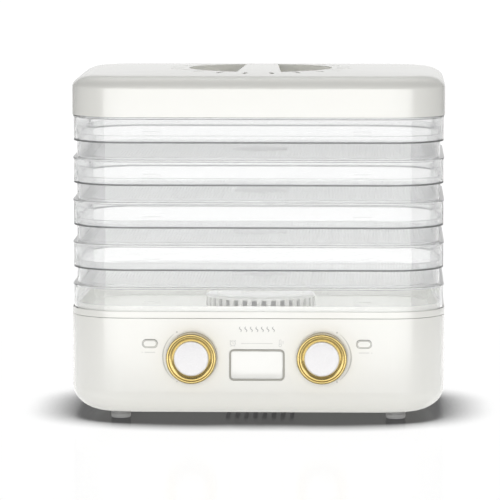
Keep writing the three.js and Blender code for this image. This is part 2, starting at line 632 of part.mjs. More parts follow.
const sensorGroup = new THREE.Group(); // looks out from the duct's wall, between two arms of the heater
sensorGroup.position.z = HEATER_Z + HEATER_HEIGHT / 2;
assembly.add(sensorGroup);
const DUCT_FLAT = DUCT_RADIUS - DUCT_WALL - 1; // flat pieces against the round wall stop here
const [cutout, sensor] = [45, 135].map((degrees) => {
  const spot = new THREE.Group();
  spot.rotation.z = (degrees * Math.PI) / 180;
  sensorGroup.add(spot);
  return spot;
});
add("thermal_cutout", levelRod(6, DUCT_FLAT - 8, DUCT_FLAT), BLACK_PLASTIC, [0, 0, 0], cutout);
const sensorBead = levelRod(2.4, DUCT_FLAT - 9, DUCT_FLAT, COARSE_STEPS);
add("temperature_sensor", sensorBead, BLACK_PLASTIC, [0, 0, 0], sensor);

// ---- Boards ---------------------------------------------------------------------------------

const BOARD_FACE = BOARD_SETBACK - GAP; // what stands on the control board ends here

function controlBoard() {
  const board = box(
    [-CONTROL_BOARD_WIDTH / 2, BOARD_SETBACK, CONTROL_BOARD_BOTTOM],
    [CONTROL_BOARD_WIDTH / 2, BOARD_SETBACK + BOARD_THICKNESS, CONTROL_BOARD_TOP],
  );
  const hole = levelRod(BOARD_SCREW_RADIUS + GAP, BOARD_SETBACK - 1, BOARD_SETBACK + 4, COARSE_STEPS);
  const holes = SIDES.map(([, side]) => moved(hole, side * BOARD_SCREW_X, 0, BOARD_SCREW_Z));
  return cut(board, holes);
}

const panel = new THREE.Group(); // y = 0 is the panel's outside, and +y goes into the base
panel.position.y = PANEL_Y;
assembly.add(panel);
add("control_board", controlBoard(), BOARD_GREEN, [0, 0, 0], panel);

const screwHead = BOARD_SETBACK + BOARD_THICKNESS + GAP;
const boardScrew = turned(
  [[0, screwHead - 8], [BOARD_SCREW_RADIUS, screwHead - 8], [BOARD_SCREW_RADIUS, screwHead],
    [2.4, screwHead], [2.4, screwHead + 1.6], [0, screwHead + 1.6]],
  COARSE_STEPS,
);
SIDES.forEach(([where, side]) =>
  add(`board_screw_${where}`, boardScrew, STEEL, [side * BOARD_SCREW_X, 0, BOARD_SCREW_Z], panel),
);

const moduleDepth = 5;
const displayModule = box(
  [-MODULE_WIDTH / 2, BOARD_FACE - moduleDepth, -MODULE_HEIGHT / 2],
  [MODULE_WIDTH / 2, BOARD_FACE, MODULE_HEIGHT / 2],
);
add("display_module", displayModule, BLACK_PLASTIC, [0, 0, DISPLAY_Z], panel);

function powerBoard() {
  const low = POWER_BOARD_LIFT + GAP;
  const x = POWER_BOARD_WIDTH / 2;
  const y = POWER_BOARD_LENGTH / 2;
  const hole = uprightRod(PIN_RADIUS + GAP, 0, low + 3, COARSE_STEPS);
  const holes = CORNERS.map(([, sx, sy]) => moved(hole, sx * PIN_X, sy * PIN_Y, 0));
  return cut(box([-x, -y, low], [x, y, low + BOARD_THICKNESS]), holes);
}

const powerUnit = new THREE.Group();
powerUnit.position.set(POWER_BOARD_X, POWER_BOARD_Y, HOUSING_FLOOR_Z);
assembly.add(powerUnit);
const partsLift = POWER_BOARD_LIFT + BOARD_THICKNESS + 2 * GAP;
add("power_board", powerBoard(), BOARD_GREEN, [0, 0, 0], powerUnit);
add("heater_relay", box([-8, -9.5, 0], [8, 9.5, 15]), BLACK_PLASTIC, [-6, 12, partsLift], powerUnit);
add("smoothing_capacitor", uprightRod(5, 0, 16, COARSE_STEPS), BLACK_PLASTIC, [8, -12, partsLift], powerUnit);

// ---- Front panel: display, knobs and buttons ------------------------------------------------

const lensWidth = BEZEL_WIDTH - 2 * BEZEL_BORDER - 2 * GAP;
const lensHeight = BEZEL_HEIGHT - 2 * BEZEL_BORDER - 2 * GAP;
const lensCorner = BEZEL_RADIUS - BEZEL_BORDER;

function bezel() {
  const outer = roundedRectangle(BEZEL_WIDTH, BEZEL_HEIGHT, BEZEL_RADIUS);
  const inner = roundedRectangle(BEZEL_WIDTH - 2 * BEZEL_BORDER, BEZEL_HEIGHT - 2 * BEZEL_BORDER, lensCorner);
  return cut(panelPrism(outer, -BEZEL_PROUD, LENS_THICKNESS), panelPrism(inner, -2, LENS_THICKNESS + 1));
}

add("display_bezel", bezel(), GREY_TRIM, [0, 0, DISPLAY_Z], panel);
add(
  "display_lens",
  panelPrism(roundedRectangle(lensWidth, lensHeight, lensCorner), 0, LENS_THICKNESS),
  LENS, [0, 0, DISPLAY_Z], panel,
);

// Encoder: a square body on the board, and a bushing that looks out of the panel.
function encoder() {
  const half = ENCODER_SIZE / 2;
  const body = box([-half, PANEL_BACK, -half], [half, BOARD_FACE, half]);
  const bushing = levelRod(BUSHING_RADIUS, -3.6, PANEL_BACK + 1);
  return cut(joined(body, bushing), levelRod(SHAFT_RADIUS + GAP, -5, BOARD_FACE - 1, COARSE_STEPS));
}

// Ring of the knob: a bead round the front, a slope down to the cap, and a web behind the cap.
function knobRing() {
  const crest = KNOB_PROTRUSION;
  const inner = KNOB_CAP_RADIUS + GAP;
  const web = KNOB_WEB_Y;
  return turned([
    [KNOB_RADIUS - KNOB_WALL, -0.2], [KNOB_RADIUS - KNOB_WALL, -web], [HUB_TUBE_RADIUS + GAP, -web],
    [HUB_TUBE_RADIUS + GAP, -web - KNOB_WEB], [inner, -web - KNOB_WEB], [inner, 2.6 - crest],
    [KNOB_RADIUS - 2.4, 0.5 - crest], [KNOB_RADIUS - 1.5, -crest], [KNOB_RADIUS - 0.5, 0.4 - crest],
    [KNOB_RADIUS, 1.8 - crest], [KNOB_RADIUS, -0.2], [KNOB_RADIUS - KNOB_WALL, -0.2],
  ], FINE_STEPS);
}

// Cap of the knob, with the hub that grips the shaft.
function knobCap() {
  const face = KNOB_PROTRUSION - 1.4;
  const back = KNOB_WEB_Y + KNOB_WEB + GAP;
  const cap = turned([
    [0, -face - 0.3], [KNOB_CAP_RADIUS - 2, -face], [KNOB_CAP_RADIUS - 0.6, -face + 0.4],
    [KNOB_CAP_RADIUS, -face + 1.2], [KNOB_CAP_RADIUS, -back], [HUB_TUBE_RADIUS, -back],
    [HUB_TUBE_RADIUS, -4.2], [0, -4.2],
  ], FINE_STEPS);
  return cut(cap, levelRod(SHAFT_RADIUS + GAP, 0.4 - back, 0, COARSE_STEPS));
}

// A button: a pill that stands proud of the panel, and a flange that keeps it in.
function button() {
  const flangeEnd = PANEL_BACK + BUTTON_FLANGE_THICKNESS;
  const stem = panelPrism(pill(0), -BUTTON_PROUD, flangeEnd);
  return joined(stem, panelPrism(pill(BUTTON_FLANGE), PANEL_BACK, flangeEnd));
}

// The switch behind a button. Its plunger waits just past the end of the button's travel.
function tactSwitch() {
  const body = box([-3, BOARD_FACE - 3.6, -3], [3, BOARD_FACE, 3]);
  const plungerTip = PANEL_BACK + BUTTON_FLANGE_THICKNESS + BUTTON_TRAVEL + GAP;
  return joined(body, levelRod(1.7, plungerTip, BOARD_FACE - 3, COARSE_STEPS));
}

SIDES.forEach(([where, side]) => {
  const knob = new THREE.Group();
  knob.position.set(side * KNOB_X, 0, KNOB_Z);
  panel.add(knob);
  const shaftTip = KNOB_WEB_Y + 1.4;
  add(`encoder_${where}`, encoder(), BLACK_PLASTIC, [0, 0, 0], knob);
  const shaft = levelRod(SHAFT_RADIUS, -shaftTip, BOARD_FACE - 1 - GAP, COARSE_STEPS);
  add(`knob_shaft_${where}`, shaft, STEEL, [0, 0, 0], knob);
  add(`knob_ring_${where}`, knobRing(), GOLD, [0, 0, 0], knob);
  add(`knob_cap_${where}`, knobCap(), PEARL, [0, 0, 0], knob);
  add(`button_${where}`, button(), CREAM, [side * BUTTON_X, 0, BUTTON_Z], panel);
  add(`tact_switch_${where}`, tactSwitch(), BLACK_PLASTIC, [side * BUTTON_X, 0, BUTTON_Z], panel);
});

// ---- Cord gland -----------------------------------------------------------------------------

function cordGland() {
  const inside = HALF_DEPTH - HOUSING_WALL - GAP;
  const outside = HALF_DEPTH + GAP;
  const end = HALF_DEPTH + GLAND_FLANGE;
  return turned([
    [GLAND_BORE_RADIUS, inside - 3], [GLAND_FLANGE_RADIUS - 1, inside - 3], [GLAND_FLANGE_RADIUS - 1, inside],
    [GLAND_BARREL_RADIUS, inside], [GLAND_BARREL_RADIUS, outside], [GLAND_FLANGE_RADIUS, outside],
    [GLAND_FLANGE_RADIUS, end - 1], [GLAND_FLANGE_RADIUS - 1, end], [GLAND_BORE_RADIUS, end],
    [GLAND_BORE_RADIUS, inside - 3],
  ]);
}

add("cord_gland", cordGland(), BLACK_PLASTIC, [GLAND_X, 0, GLAND_Z]);

// ---- Trays ----------------------------------------------------------------------------------

// The floor lies on the ledge. Long slots in two rows leave a solid hub in the middle.
function meshFloor() {
  const edge = TRAY_INSET + NECK_INSET + TRAY_WALL + SLACK;
  const inset = edge + FLOOR_BORDER;
  const half = HALF_DEPTH - inset;
  const pitch = (BODY_WIDTH - 2 * inset) / FLOOR_SLOT_COLUMNS;
  const low = SKIRT_HEIGHT + GAP;
  const high = low + FLOOR_THICKNESS;
  const slots = Array.from({ length: FLOOR_SLOT_COLUMNS }, (_, i) => {
    const x = (i - (FLOOR_SLOT_COLUMNS - 1) / 2) * pitch;
    return box([x - FLOOR_SLOT_WIDTH / 2, -half, low - 1], [x + FLOOR_SLOT_WIDTH / 2, half, high + 1]);
  });
  const kept = joined(
    box([-HALF_WIDTH, -FLOOR_RIB, low - 2], [HALF_WIDTH, FLOOR_RIB, high + 2]),
    uprightRod(HUB_RADIUS, low - 2, high + 2),
  );
  const cuts = cut(joined(slots), kept).intersect(stack([[inset, low - 2], [inset, high + 2]]));
  return cut(stack([[edge, low], [edge, high]]), cuts);
}

// Blocks inside the skirt that rest on the neck of the tray below.
function stackingStops() {
  const low = NECK_LAP + GAP;
  const reach = NECK_INSET + TRAY_WALL;
  const half = STOP_LENGTH / 2;
  const inWall = TRAY_WALL / 2;
  const sides = [
    [BODY_WIDTH, HALF_DEPTH - TRAY_INSET, 0], [BODY_WIDTH, HALF_DEPTH - TRAY_INSET, Math.PI],
    [BODY_DEPTH, HALF_WIDTH - TRAY_INSET, Math.PI / 2], [BODY_DEPTH, HALF_WIDTH - TRAY_INSET, -Math.PI / 2],
  ];
  return sides.flatMap(([length, wall, angle]) =>
    [-1, 1].map((end) => {
      const middle = end * STOP_SPREAD * length;
      const stop = box([middle - half, wall - reach, low], [middle + half, wall - inWall, low + STOP_HEIGHT]);
      return around(stop, angle);
    }),
  );
}

function trayFrame() {
  const lipFoot = SKIRT_HEIGHT - LIP_HEIGHT;
  const neckTop = SKIRT_HEIGHT + NECK_HEIGHT;
  const lip = TRAY_INSET - LIP_REACH;
  const neck = TRAY_INSET + NECK_INSET;
  const inside = neck + TRAY_WALL;
  const outside = stack([
    [TRAY_INSET, 0], [TRAY_INSET, lipFoot - LIP_REACH / 2], [lip, lipFoot + LIP_REACH / 2],
    [lip, SKIRT_HEIGHT], [neck, SKIRT_HEIGHT], [neck, neckTop],
  ]);
  const skirt = TRAY_INSET + TRAY_WALL;
  const under = stack([[skirt, -1], [skirt, SKIRT_HEIGHT - LEDGE_THICKNESS]]);
  const hole = stack([[inside + LEDGE_WIDTH, 0], [inside + LEDGE_WIDTH, neckTop]]);
  const over = stack([[inside, SKIRT_HEIGHT], [inside, neckTop + 1]]);
  return joined(cut(outside, under, hole, over), stackingStops());
}

const frameShape = trayFrame();
const floorShape = meshFloor();
for (let number = 1; number <= TRAY_COUNT; number++) {
  const place = [0, 0, LOWEST_TRAY_Z + (TRAY_COUNT - number) * TRAY_PITCH];
  add(`tray_${number}`, frameShape, CLEAR, place);
  add(`tray_${number}_mesh`, floorShape, CLEAR, place);
}

// ---- Lid ------------------------------------------------------------------------------------

// The bar between the finger wells, wider at the front, made narrower all round by `inset`.
function gripBar(inset, low, high) {
  const front = GRIP_BAR_FRONT / 2 - inset;
  const back = GRIP_BAR_BACK / 2 - inset;
  const reach = GRIP_RADIUS + 4;
  const shape = new THREE.Shape([
    new THREE.Vector2(-front, -reach), new THREE.Vector2(front, -reach),
    new THREE.Vector2(back, reach), new THREE.Vector2(-back, reach),
  ]);
  return platePrism(shape, low, high);
}

function lidShell() {
  const outside = quarterRound(5, (t) => [
    LID_ROUND_WIDTH * (1 - Math.cos(t)), LID_SIDE_HEIGHT + LID_ROUND_HEIGHT * Math.sin(t),
  ]);
  const inside = quarterRound(3, (t) => [
    (LID_ROUND_WIDTH - LID_WALL / 2) * (1 - Math.cos(t)) + LID_WALL,
    LID_SIDE_HEIGHT + (LID_ROUND_HEIGHT - LID_WALL) * Math.sin(t),
  ]);
  const crown = [LID_ROUND_WIDTH + LID_CROWN_WIDTH, LID_HEIGHT];
  return cut(stack([[0, 0], ...outside, crown]), stack([[LID_WALL, -1], ...inside]));
}

function lid() {
  const wellFloor = LID_HEIGHT - GRIP_DEPTH;
  const drumTop = LID_HEIGHT - LID_CROWN - 1;
  const drum = uprightRod(GRIP_RADIUS + LID_WALL, wellFloor - LID_WALL, drumTop, FINE_STEPS);
  const circle = uprightRod(GRIP_RADIUS, wellFloor, LID_HEIGHT + 1, FINE_STEPS);
  const wells = cut(circle, gripBar(0, 0, LID_HEIGHT + 2));
  const barHollow = gripBar(LID_WALL, wellFloor - LID_WALL - 1, LID_HEIGHT - LID_WALL)
    .intersect(uprightRod(GRIP_RADIUS, 0, LID_HEIGHT + 2, FINE_STEPS));
  const start = GRIP_RADIUS + LID_VENT_CLEAR;
  const vent = box(
    [start, -LID_VENT_WIDTH / 2, wellFloor],
    [start + LID_VENT_LENGTH, LID_VENT_WIDTH / 2, LID_HEIGHT + 1],
  );
  const vents = ring(vent, LID_VENTS, Math.PI / LID_VENTS);
  const wellVents = SIDES.flatMap(([, side]) =>
    Array.from({ length: WELL_VENTS }, (_, i) => {
      const slot = roundedRectangle(WELL_VENT_WIDTH, WELL_VENT_LENGTH - 8 * i, WELL_VENT_WIDTH / 2 - 0.01);
      const x = side * (GRIP_BAR_FRONT / 2 + 7 + i * WELL_VENT_PITCH);
      return moved(platePrism(slot, wellFloor - LID_WALL - 1, wellFloor + 1), x, 0, 0);
    }),
  );
  return cut(joined(lidShell(), drum), wells, barHollow, vents, wellVents);
}

add("lid", lid(), CREAM, [0, 0, LID_Z]);

export default dehydrator;
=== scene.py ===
"""Looks of a countertop food dehydrator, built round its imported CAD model.

Lengths in the classes are in millimetres and are turned into metres where a mesh is made. +X is to
the viewer's right, +Y runs from the front panel to the back, and the feet stand on z = 0.
"""

import json
import logging
import math
from collections.abc import Callable, Iterable, Sequence
from dataclasses import dataclass
from enum import Enum

import bmesh
import bpy
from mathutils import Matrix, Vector

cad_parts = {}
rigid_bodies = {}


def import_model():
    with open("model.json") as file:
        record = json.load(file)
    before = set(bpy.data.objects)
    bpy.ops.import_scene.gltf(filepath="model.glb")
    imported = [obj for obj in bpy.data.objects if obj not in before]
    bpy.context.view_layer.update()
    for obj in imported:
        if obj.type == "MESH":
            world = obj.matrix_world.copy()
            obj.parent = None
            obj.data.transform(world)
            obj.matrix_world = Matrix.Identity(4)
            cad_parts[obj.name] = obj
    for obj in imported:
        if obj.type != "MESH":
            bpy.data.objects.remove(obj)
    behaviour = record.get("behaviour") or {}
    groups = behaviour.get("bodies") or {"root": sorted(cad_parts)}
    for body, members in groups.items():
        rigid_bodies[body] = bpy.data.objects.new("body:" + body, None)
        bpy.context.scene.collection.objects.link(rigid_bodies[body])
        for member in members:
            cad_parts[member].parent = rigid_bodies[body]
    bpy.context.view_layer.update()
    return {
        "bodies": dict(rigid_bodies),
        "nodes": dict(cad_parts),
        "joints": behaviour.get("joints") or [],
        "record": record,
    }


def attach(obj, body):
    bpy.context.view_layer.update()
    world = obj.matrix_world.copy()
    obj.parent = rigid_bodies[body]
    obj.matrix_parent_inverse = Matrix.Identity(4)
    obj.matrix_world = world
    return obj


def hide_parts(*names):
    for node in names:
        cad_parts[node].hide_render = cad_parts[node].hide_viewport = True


MM = 0.001
MERGE = 2e-6  # metres; points closer than this are one point
TURN = 2 * math.pi
SIDES = {"left": -1, "right": 1}
CORNERS = {"front_left": (-1, -1), "front_right": (1, -1), "back_left": (-1, 1), "back_right": (1, 1)}

Object = bpy.types.Object
Point = tuple[float, float]
log = logging.getLogger("dehydrator")


class Axis(Enum):
    """Direction that a turned piece's heights run along, and the direction of its first radius."""

    UP = (Vector((0, 0, 1)), Vector((1, 0, 0)))
    FORWARD = (Vector((0, -1, 0)), Vector((1, 0, 0)))
    BACKWARD = (Vector((0, 1, 0)), Vector((1, 0, 0)))


class Cap(Enum):
    """Which flat end of an upright block is worked on."""

    TOP = 1
    BOTTOM = -1


# ---- Workshop: modelling by hand tools ---------------------------------------------------------


def deselect() -> None:
    """Leaves edit mode and deselects every object."""
    if bpy.context.object is not None and bpy.context.object.mode != "OBJECT":
        bpy.ops.object.mode_set(mode="OBJECT")
    bpy.ops.object.select_all(action="DESELECT")


def pick(*pieces: Object) -> Object:
    """Makes the pieces the only selected ones.

    Args:
        pieces: the objects; the first becomes the active one.

    Returns:
        The active object.
    """
    deselect()
    for piece in pieces:
        piece.select_set(True)
    bpy.context.view_layer.objects.active = pieces[0]
    return pieces[0]


def settled(name: str) -> Object:
    """Names the new primitive and puts its place, turn and scale into its mesh.

    Args:
        name: the object's new name.

    Returns:
        The primitive, with its object at the origin.
    """
    piece = bpy.context.object
    piece.name = piece.data.name = name
    bpy.ops.object.transform_apply(location=True, rotation=True, scale=True)
    return piece


def edit(piece: Object) -> None:
    """Opens a piece in edit mode, with faces as what is selected and all of them selected."""
    pick(piece)
    bpy.ops.object.mode_set(mode="EDIT")
    bpy.ops.mesh.select_mode(type="FACE")
    bpy.ops.mesh.select_all(action="SELECT")


def done() -> None:
    """Leaves edit mode."""
    bpy.ops.object.mode_set(mode="OBJECT")


def choose(test: Callable[[bmesh.types.BMFace], bool]) -> int:
    """Selects just the faces that pass a test, in edit mode.

    Args:
        test: says whether a face is wanted.

    Returns:
        How many faces were selected.
    """
    bpy.ops.mesh.select_all(action="DESELECT")
    mesh = bpy.context.object.data
    work = bmesh.from_edit_mesh(mesh)
    count = 0
    for face in work.faces:
        if test(face):
            face.select_set(True)
            count += 1
    bmesh.update_edit_mesh(mesh)
    return count


def choose_cap(cap: Cap) -> float:
    """Selects the flat faces at the very top or bottom of the mesh in edit mode.

    Args:
        cap: which end.

    Returns:
        The height of that end, in metres.
    """
    work = bmesh.from_edit_mesh(bpy.context.object.data)
    heights = [vert.co.z for vert in work.verts]
    level = max(heights) if cap is Cap.TOP else min(heights)
    choose(lambda face: all(abs(vert.co.z - level) < MM * 0.01 for vert in face.verts))
    return level


def outward() -> None:
    """Merges doubled points and turns every face outwards, in edit mode."""
    bpy.ops.mesh.select_all(action="SELECT")
    bpy.ops.mesh.remove_doubles(threshold=MERGE)
    bpy.ops.mesh.normals_make_consistent(inside=False)


def push(x: float, y: float, z: float) -> None:
    """Extrudes the selected faces by a distance in millimetres."""
    bpy.ops.mesh.extrude_region_move(TRANSFORM_OT_translate={"value": (x * MM, y * MM, z * MM)})


def climb(moves: Sequence[Point], cap: Cap = Cap.TOP) -> None:
    """Carries the selected cap along, one wall after another.

    Args:
        moves: (inset, rise) in millimetres: how far each wall leans in, and how far out it goes.
        cap: which end of the block is selected.
    """
    for inset, rise in moves:
        if inset > 0:
            bpy.ops.mesh.inset(thickness=inset * MM, depth=rise * MM, use_even_offset=True)
        else:
            push(0, 0, rise * cap.value)


def spread(dx: float, dy: float, plan: "Plan", half: Point) -> None:
    """Widens the selected outline.

    Args:
        dx: millimetres that each end moves out along X.
        dy: millimetres that each end moves out along Y.
        plan: the plan that the outline is centred on.
        half: the outline's half sizes now, in millimetres.
    """
    bpy.ops.transform.resize(
        value=(1 + dx / half[0], 1 + dy / half[1], 1),
        center_override=(0, plan.middle * MM, 0),
    )


def modified(piece: Object, kind: str, **settings: object) -> Object:
    """Adds a modifier and applies it.

    Args:
        piece: the object to change.
        kind: the modifier's type.
        settings: values of the modifier's properties.

    Returns:
        The same object.
    """
    modifier = piece.modifiers.new(kind.lower(), kind)
    for key, value in settings.items():
        setattr(modifier, key, value)
    pick(piece)
    bpy.ops.object.modifier_apply(modifier=modifier.name)
    return piece


def joined(pieces: Sequence[Object], name: str) -> Object:
    """Joins objects into one, without merging their surfaces.

    Args:
        pieces: the objects, which become one.
        name: the name of the result.

    Returns:
        The joined object.
    """
    whole = pick(*pieces)
    if len(pieces) > 1:
        bpy.ops.object.join()
    whole.name = whole.data.name = name
    return whole


def combine(piece: Object, tools: Sequence[Object], operation: str, crossing: bool = False) -> Object:
    """Cuts, adds or meets a piece with tools in one exact boolean, and removes the tools.

    Args:
        piece: the object that is changed.
        tools: closed objects.
        operation: DIFFERENCE, UNION or INTERSECT.
        crossing: whether the tools run through each other.

    Returns:
        The same object.
    """
    tool = joined(list(tools), "tool")
    modified(piece, "BOOLEAN", operation=operation, solver="EXACT", object=tool, use_self=crossing)
    bpy.data.objects.remove(tool)
    return piece


def carve(piece: Object, *tools: Object, crossing: bool = False) -> Object:
    """Cuts tools out of a piece."""
    return combine(piece, tools, "DIFFERENCE", crossing)


def softened(piece: Object, width: float, segments: int = 2, angle: float = 38) -> Object:
    """Rounds a piece's sharp edges and shades it smooth.

    Args:
        piece: the object.
        width: the rounding's width, in millimetres.
        segments: how many facets it has.
        angle: edges that turn by more than this many degrees are rounded.

    Returns:
        The same object.
    """
    if width:
        modified(piece, "BEVEL", width=width * MM, segments=segments, limit_method="ANGLE",
                 angle_limit=math.radians(angle), use_clamp_overlap=True, miter_outer="MITER_ARC")
    return smoothed(piece)


def smoothed(piece: Object, angle: float = 32) -> Object:
    """Shades a piece smooth except at sharp edges, with the large flat faces kept flat."""
    pick(piece)
    bpy.ops.object.shade_smooth_by_angle(angle=math.radians(angle))
    return modified(piece, "WEIGHTED_NORMAL", keep_sharp=True)


def copied(piece: Object, name: str, shift: Sequence[float]) -> Object:
    """Copies a piece with its own mesh.

    Args:
        piece: the object to copy.
        name: the copy's name.
        shift: where the copy lies from the first, in millimetres.

    Returns:
        The copy, at the origin.
    """
    pick(piece)
    bpy.ops.object.duplicate()
    bpy.context.object.location = Vector(shift) * MM
    return settled(name)


def turned(name: str, profile: Sequence[Point], centre: Sequence[float], axis: Axis = Axis.UP,
           steps: int = 64) -> Object:
    """Turns a profile round an axis.

    Args:
        name: the object's name.
        profile: (radius, height) points in millimetres. A closed solid starts and ends on the axis
            or ends where it started.
        centre: the point on the axis at height 0, in millimetres.
        axis: the direction that heights run along.
        steps: facets in the whole turn.

    Returns:
        The new object.
    """
    along, across = axis.value
    points = [(Vector(centre) + across * r + along * h) * MM for r, h in profile]
    deselect()
    bpy.ops.mesh.primitive_plane_add(size=MM, location=points[0])
    piece = settled(name)
    edit(piece)
    bpy.ops.mesh.merge(type="CENTER")
    bpy.ops.mesh.select_mode(type="VERT")
    bpy.ops.mesh.select_all(action="SELECT")
    for here, there in zip(points, points[1:]):
        bpy.ops.mesh.extrude_vertices_move(TRANSFORM_OT_translate={"value": there - here})
    bpy.ops.mesh.select_all(action="SELECT")
    bpy.ops.mesh.spin(steps=steps, angle=TURN, center=Vector(centre) * MM, axis=along)
    outward()
    done()
    return piece


def rod(name: str, radius: float, low: float, high: float, centre: Sequence[float],
        axis: Axis = Axis.UP, steps: int = 48) -> Object:
    """A plain round bar, used as a cutter or a post."""
    return turned(name, [(0, low), (radius, low), (radius, high), (0, high)], centre, axis, steps)


def bar(name: str, size: Sequence[float], centre: Sequence[float], turn: float = 0,
        round_by: float = 0) -> Object:
    """A rectangular bar, with its upright edges rounded.

    Args:
        name: the object's name.
        size: lengths along X, Y and Z in millimetres, before it is turned.
        centre: its middle, in millimetres.
        turn: radians about Z.
        round_by: radius of the upright edges.

    Returns:
        The new object.
    """
    deselect()
    bpy.ops.mesh.primitive_cube_add(size=MM, location=Vector(centre) * MM, rotation=(0, 0, turn))
    bpy.context.object.scale = size
    piece = settled(name)
    if round_by:
        edit(piece)
        bpy.ops.mesh.select_mode(type="EDGE")
        bpy.ops.mesh.select_all(action="DESELECT")
        work = bmesh.from_edit_mesh(piece.data)
        for edge in work.edges:
            a, b = (vert.co for vert in edge.verts)
            edge.select_set(abs(a.x - b.x) < MERGE and abs(a.y - b.y) < MERGE)
        bmesh.update_edit_mesh(piece.data)
        bpy.ops.mesh.bevel(offset=round_by * MM, segments=6, affect="EDGES")
        done()
    return piece


def tablet(name: str, size: Point, radius: float, place: Point, near: float, far: float,
           segments: int = 8) -> Object:
    """A rounded rectangle that faces the front, from y = near back to y = far.

    Args:
        name: the object's name.
        size: width and height in millimetres.
        radius: of its corners.
        place: x and z of its middle.
        near: y of its front face.
        far: y of its back face.
        segments: facets in a corner.

    Returns:
        The new object.
    """
    deselect()
    centre = Vector((place[0], far, place[1])) * MM
    bpy.ops.mesh.primitive_plane_add(size=MM, location=centre, rotation=(math.pi / 2, 0, 0))
    bpy.context.object.scale = (size[0], size[1], 1)
    piece = settled(name)
    edit(piece)
    if radius:
        bpy.ops.mesh.bevel(offset=radius * MM, segments=segments, affect="VERTICES")
        bpy.ops.mesh.select_all(action="SELECT")
    push(0, near - far, 0)
    outward()
    done()
    return piece


@dataclass(frozen=True)
class Plan:
    """Plan outline that the base, the trays and the lid share, in millimetres."""

    width: float = 300.0
    depth: float = 215.0
    corner: float = 45.0
    middle: float = 6.25

    @property
    def front(self) -> float:
        """y of the front panel."""
        return self.middle - self.depth / 2

    @property
    def back(self) -> float:
        """y of the back wall."""
        return self.middle + self.depth / 2

    def half(self, inset: float) -> Point:
        """Half sizes of the outline moved in by inset."""
        return self.width / 2 - inset, self.depth / 2 - inset

    def block(self, name: str, inset: float, low: float, high: float, segments: int = 12) -> Object:
        """An upright block with the plan's rounded outline.

        Args:
            name: the object's name.
            inset: how far the outline is moved in.
            low: height of its bottom.
            high: height of its top.
            segments: facets in each corner.

        Returns:
            The new object.
        """
        deselect()
        bpy.ops.mesh.primitive_plane_add(size=2 * MM, location=(0, self.middle * MM, low * MM))
        bpy.context.object.scale = (*self.half(inset), 1)
        piece = settled(name)
        edit(piece)
        bpy.ops.mesh.bevel(offset=(self.corner - inset) * MM, segments=segments, affect="VERTICES")
        bpy.ops.mesh.select_all(action="SELECT")
        push(0, 0, high - low)
        outward()
        done()
        return piece


PLAN = Plan()


def quarter(width: float, height: float, steps: int, steep_first: bool) -> list[Point]:
    """Moves for climb() that make a quarter-ellipse edge.

    Args:
        width: how far the edge leans in, in all.
        height: how far it rises, in all.
        steps: how many walls it has.
        steep_first: whether it starts upright.

    Returns:
        (inset, rise) pairs.
    """
    def at(i: int) -> Point:
        angle = math.pi / 2 * i / steps
        if steep_first:
            return width * (1 - math.cos(angle)), height * math.sin(angle)
        return width * math.sin(angle), height * (1 - math.cos(angle))

    spots = [at(i) for i in range(steps + 1)]
    return [(b[0] - a[0], b[1] - a[1]) for a, b in zip(spots, spots[1:])]


# ---- Finishes: procedural materials ------------------------------------------------------------


class Wiring:
    """A node tree, of a material or a shared effect, and short ways to add to it."""

    def __init__(self, tree: bpy.types.NodeTree) -> None:
        """Keeps the tree."""
        self.tree = tree

    def node(self, kind: str, links: dict | None = None, **settings: object) -> bpy.types.Node:
        """Adds a node.

        Args:
            kind: the node's type, without ShaderNode.
            links: input name or number to the socket or plain value that it takes.
            settings: the node's properties.

        Returns:
            The new node.
        """
        node = self.tree.nodes.new("ShaderNode" + kind)
        for key, value in settings.items():
            setattr(node, key, value)
        for key, value in (links or {}).items():
            self.feed(node.inputs[key], value)
        return node

    def feed(self, socket: bpy.types.NodeSocket, value: object) -> None:
        """Links a socket to an input, or sets the input's plain value."""
        if isinstance(value, bpy.types.NodeSocket):
            self.tree.links.new(value, socket)
        else:
            socket.default_value = value

    def maths(self, operation: str, *values: object) -> bpy.types.NodeSocket:
        """Adds a Math node and returns its result."""
        links = dict(enumerate(values))
        return self.node("Math", links, operation=operation).outputs[0]

    def noise(self, place: object, scale: float, detail: float = 2, rough: float = 0.5) -> bpy.types.NodeSocket:
        """Adds a Noise node and returns its value, from 0 to 1."""
        links = {"Vector": place, "Scale": scale, "Detail": detail, "Roughness": rough}
        return self.node("TexNoise", links).outputs[0]

    def span(self, value: object, low: float, high: float, to_low: float, to_high: float) -> bpy.types.NodeSocket:
        """Adds a Map Range node and returns its result."""
        return self.node("MapRange", {0: value, 1: low, 2: high, 3: to_low, 4: to_high}).outputs[0]

    def blend(self, share: object, first: object, second: object) -> bpy.types.NodeSocket:
        """Mixes two colours and returns the result."""
        mix = self.node("Mix", {"Factor": share}, data_type="RGBA")
        self.feed(mix.inputs[6], first)
        self.feed(mix.inputs[7], second)
        return mix.outputs[2]

    def here(self) -> bpy.types.NodeSocket:
        """Object coordinates, in metres."""
        return self.node("TexCoord").outputs["Object"]


def effect(name: str, inputs: dict[str, float],
           outputs: Sequence[str]) -> tuple[Wiring, bpy.types.Node, bpy.types.Node]:
    """Starts a shared effect as a node group.

    Args:
        name: the group's name.
        inputs: names and usual values of its number inputs.
        outputs: names of its number outputs.

    Returns:
        The group's wiring, its input node and its output node.
    """
    tree = bpy.data.node_groups.new(name, "ShaderNodeTree")
    for key, value in inputs.items():
        socket = tree.interface.new_socket(key, in_out="INPUT", socket_type="NodeSocketFloat")
        socket.default_value = value
    for key in outputs:
        tree.interface.new_socket(key, in_out="OUTPUT", socket_type="NodeSocketFloat")
    wiring = Wiring(tree)
    return wiring, tree.nodes.new("NodeGroupInput"), tree.nodes.new("NodeGroupOutput")


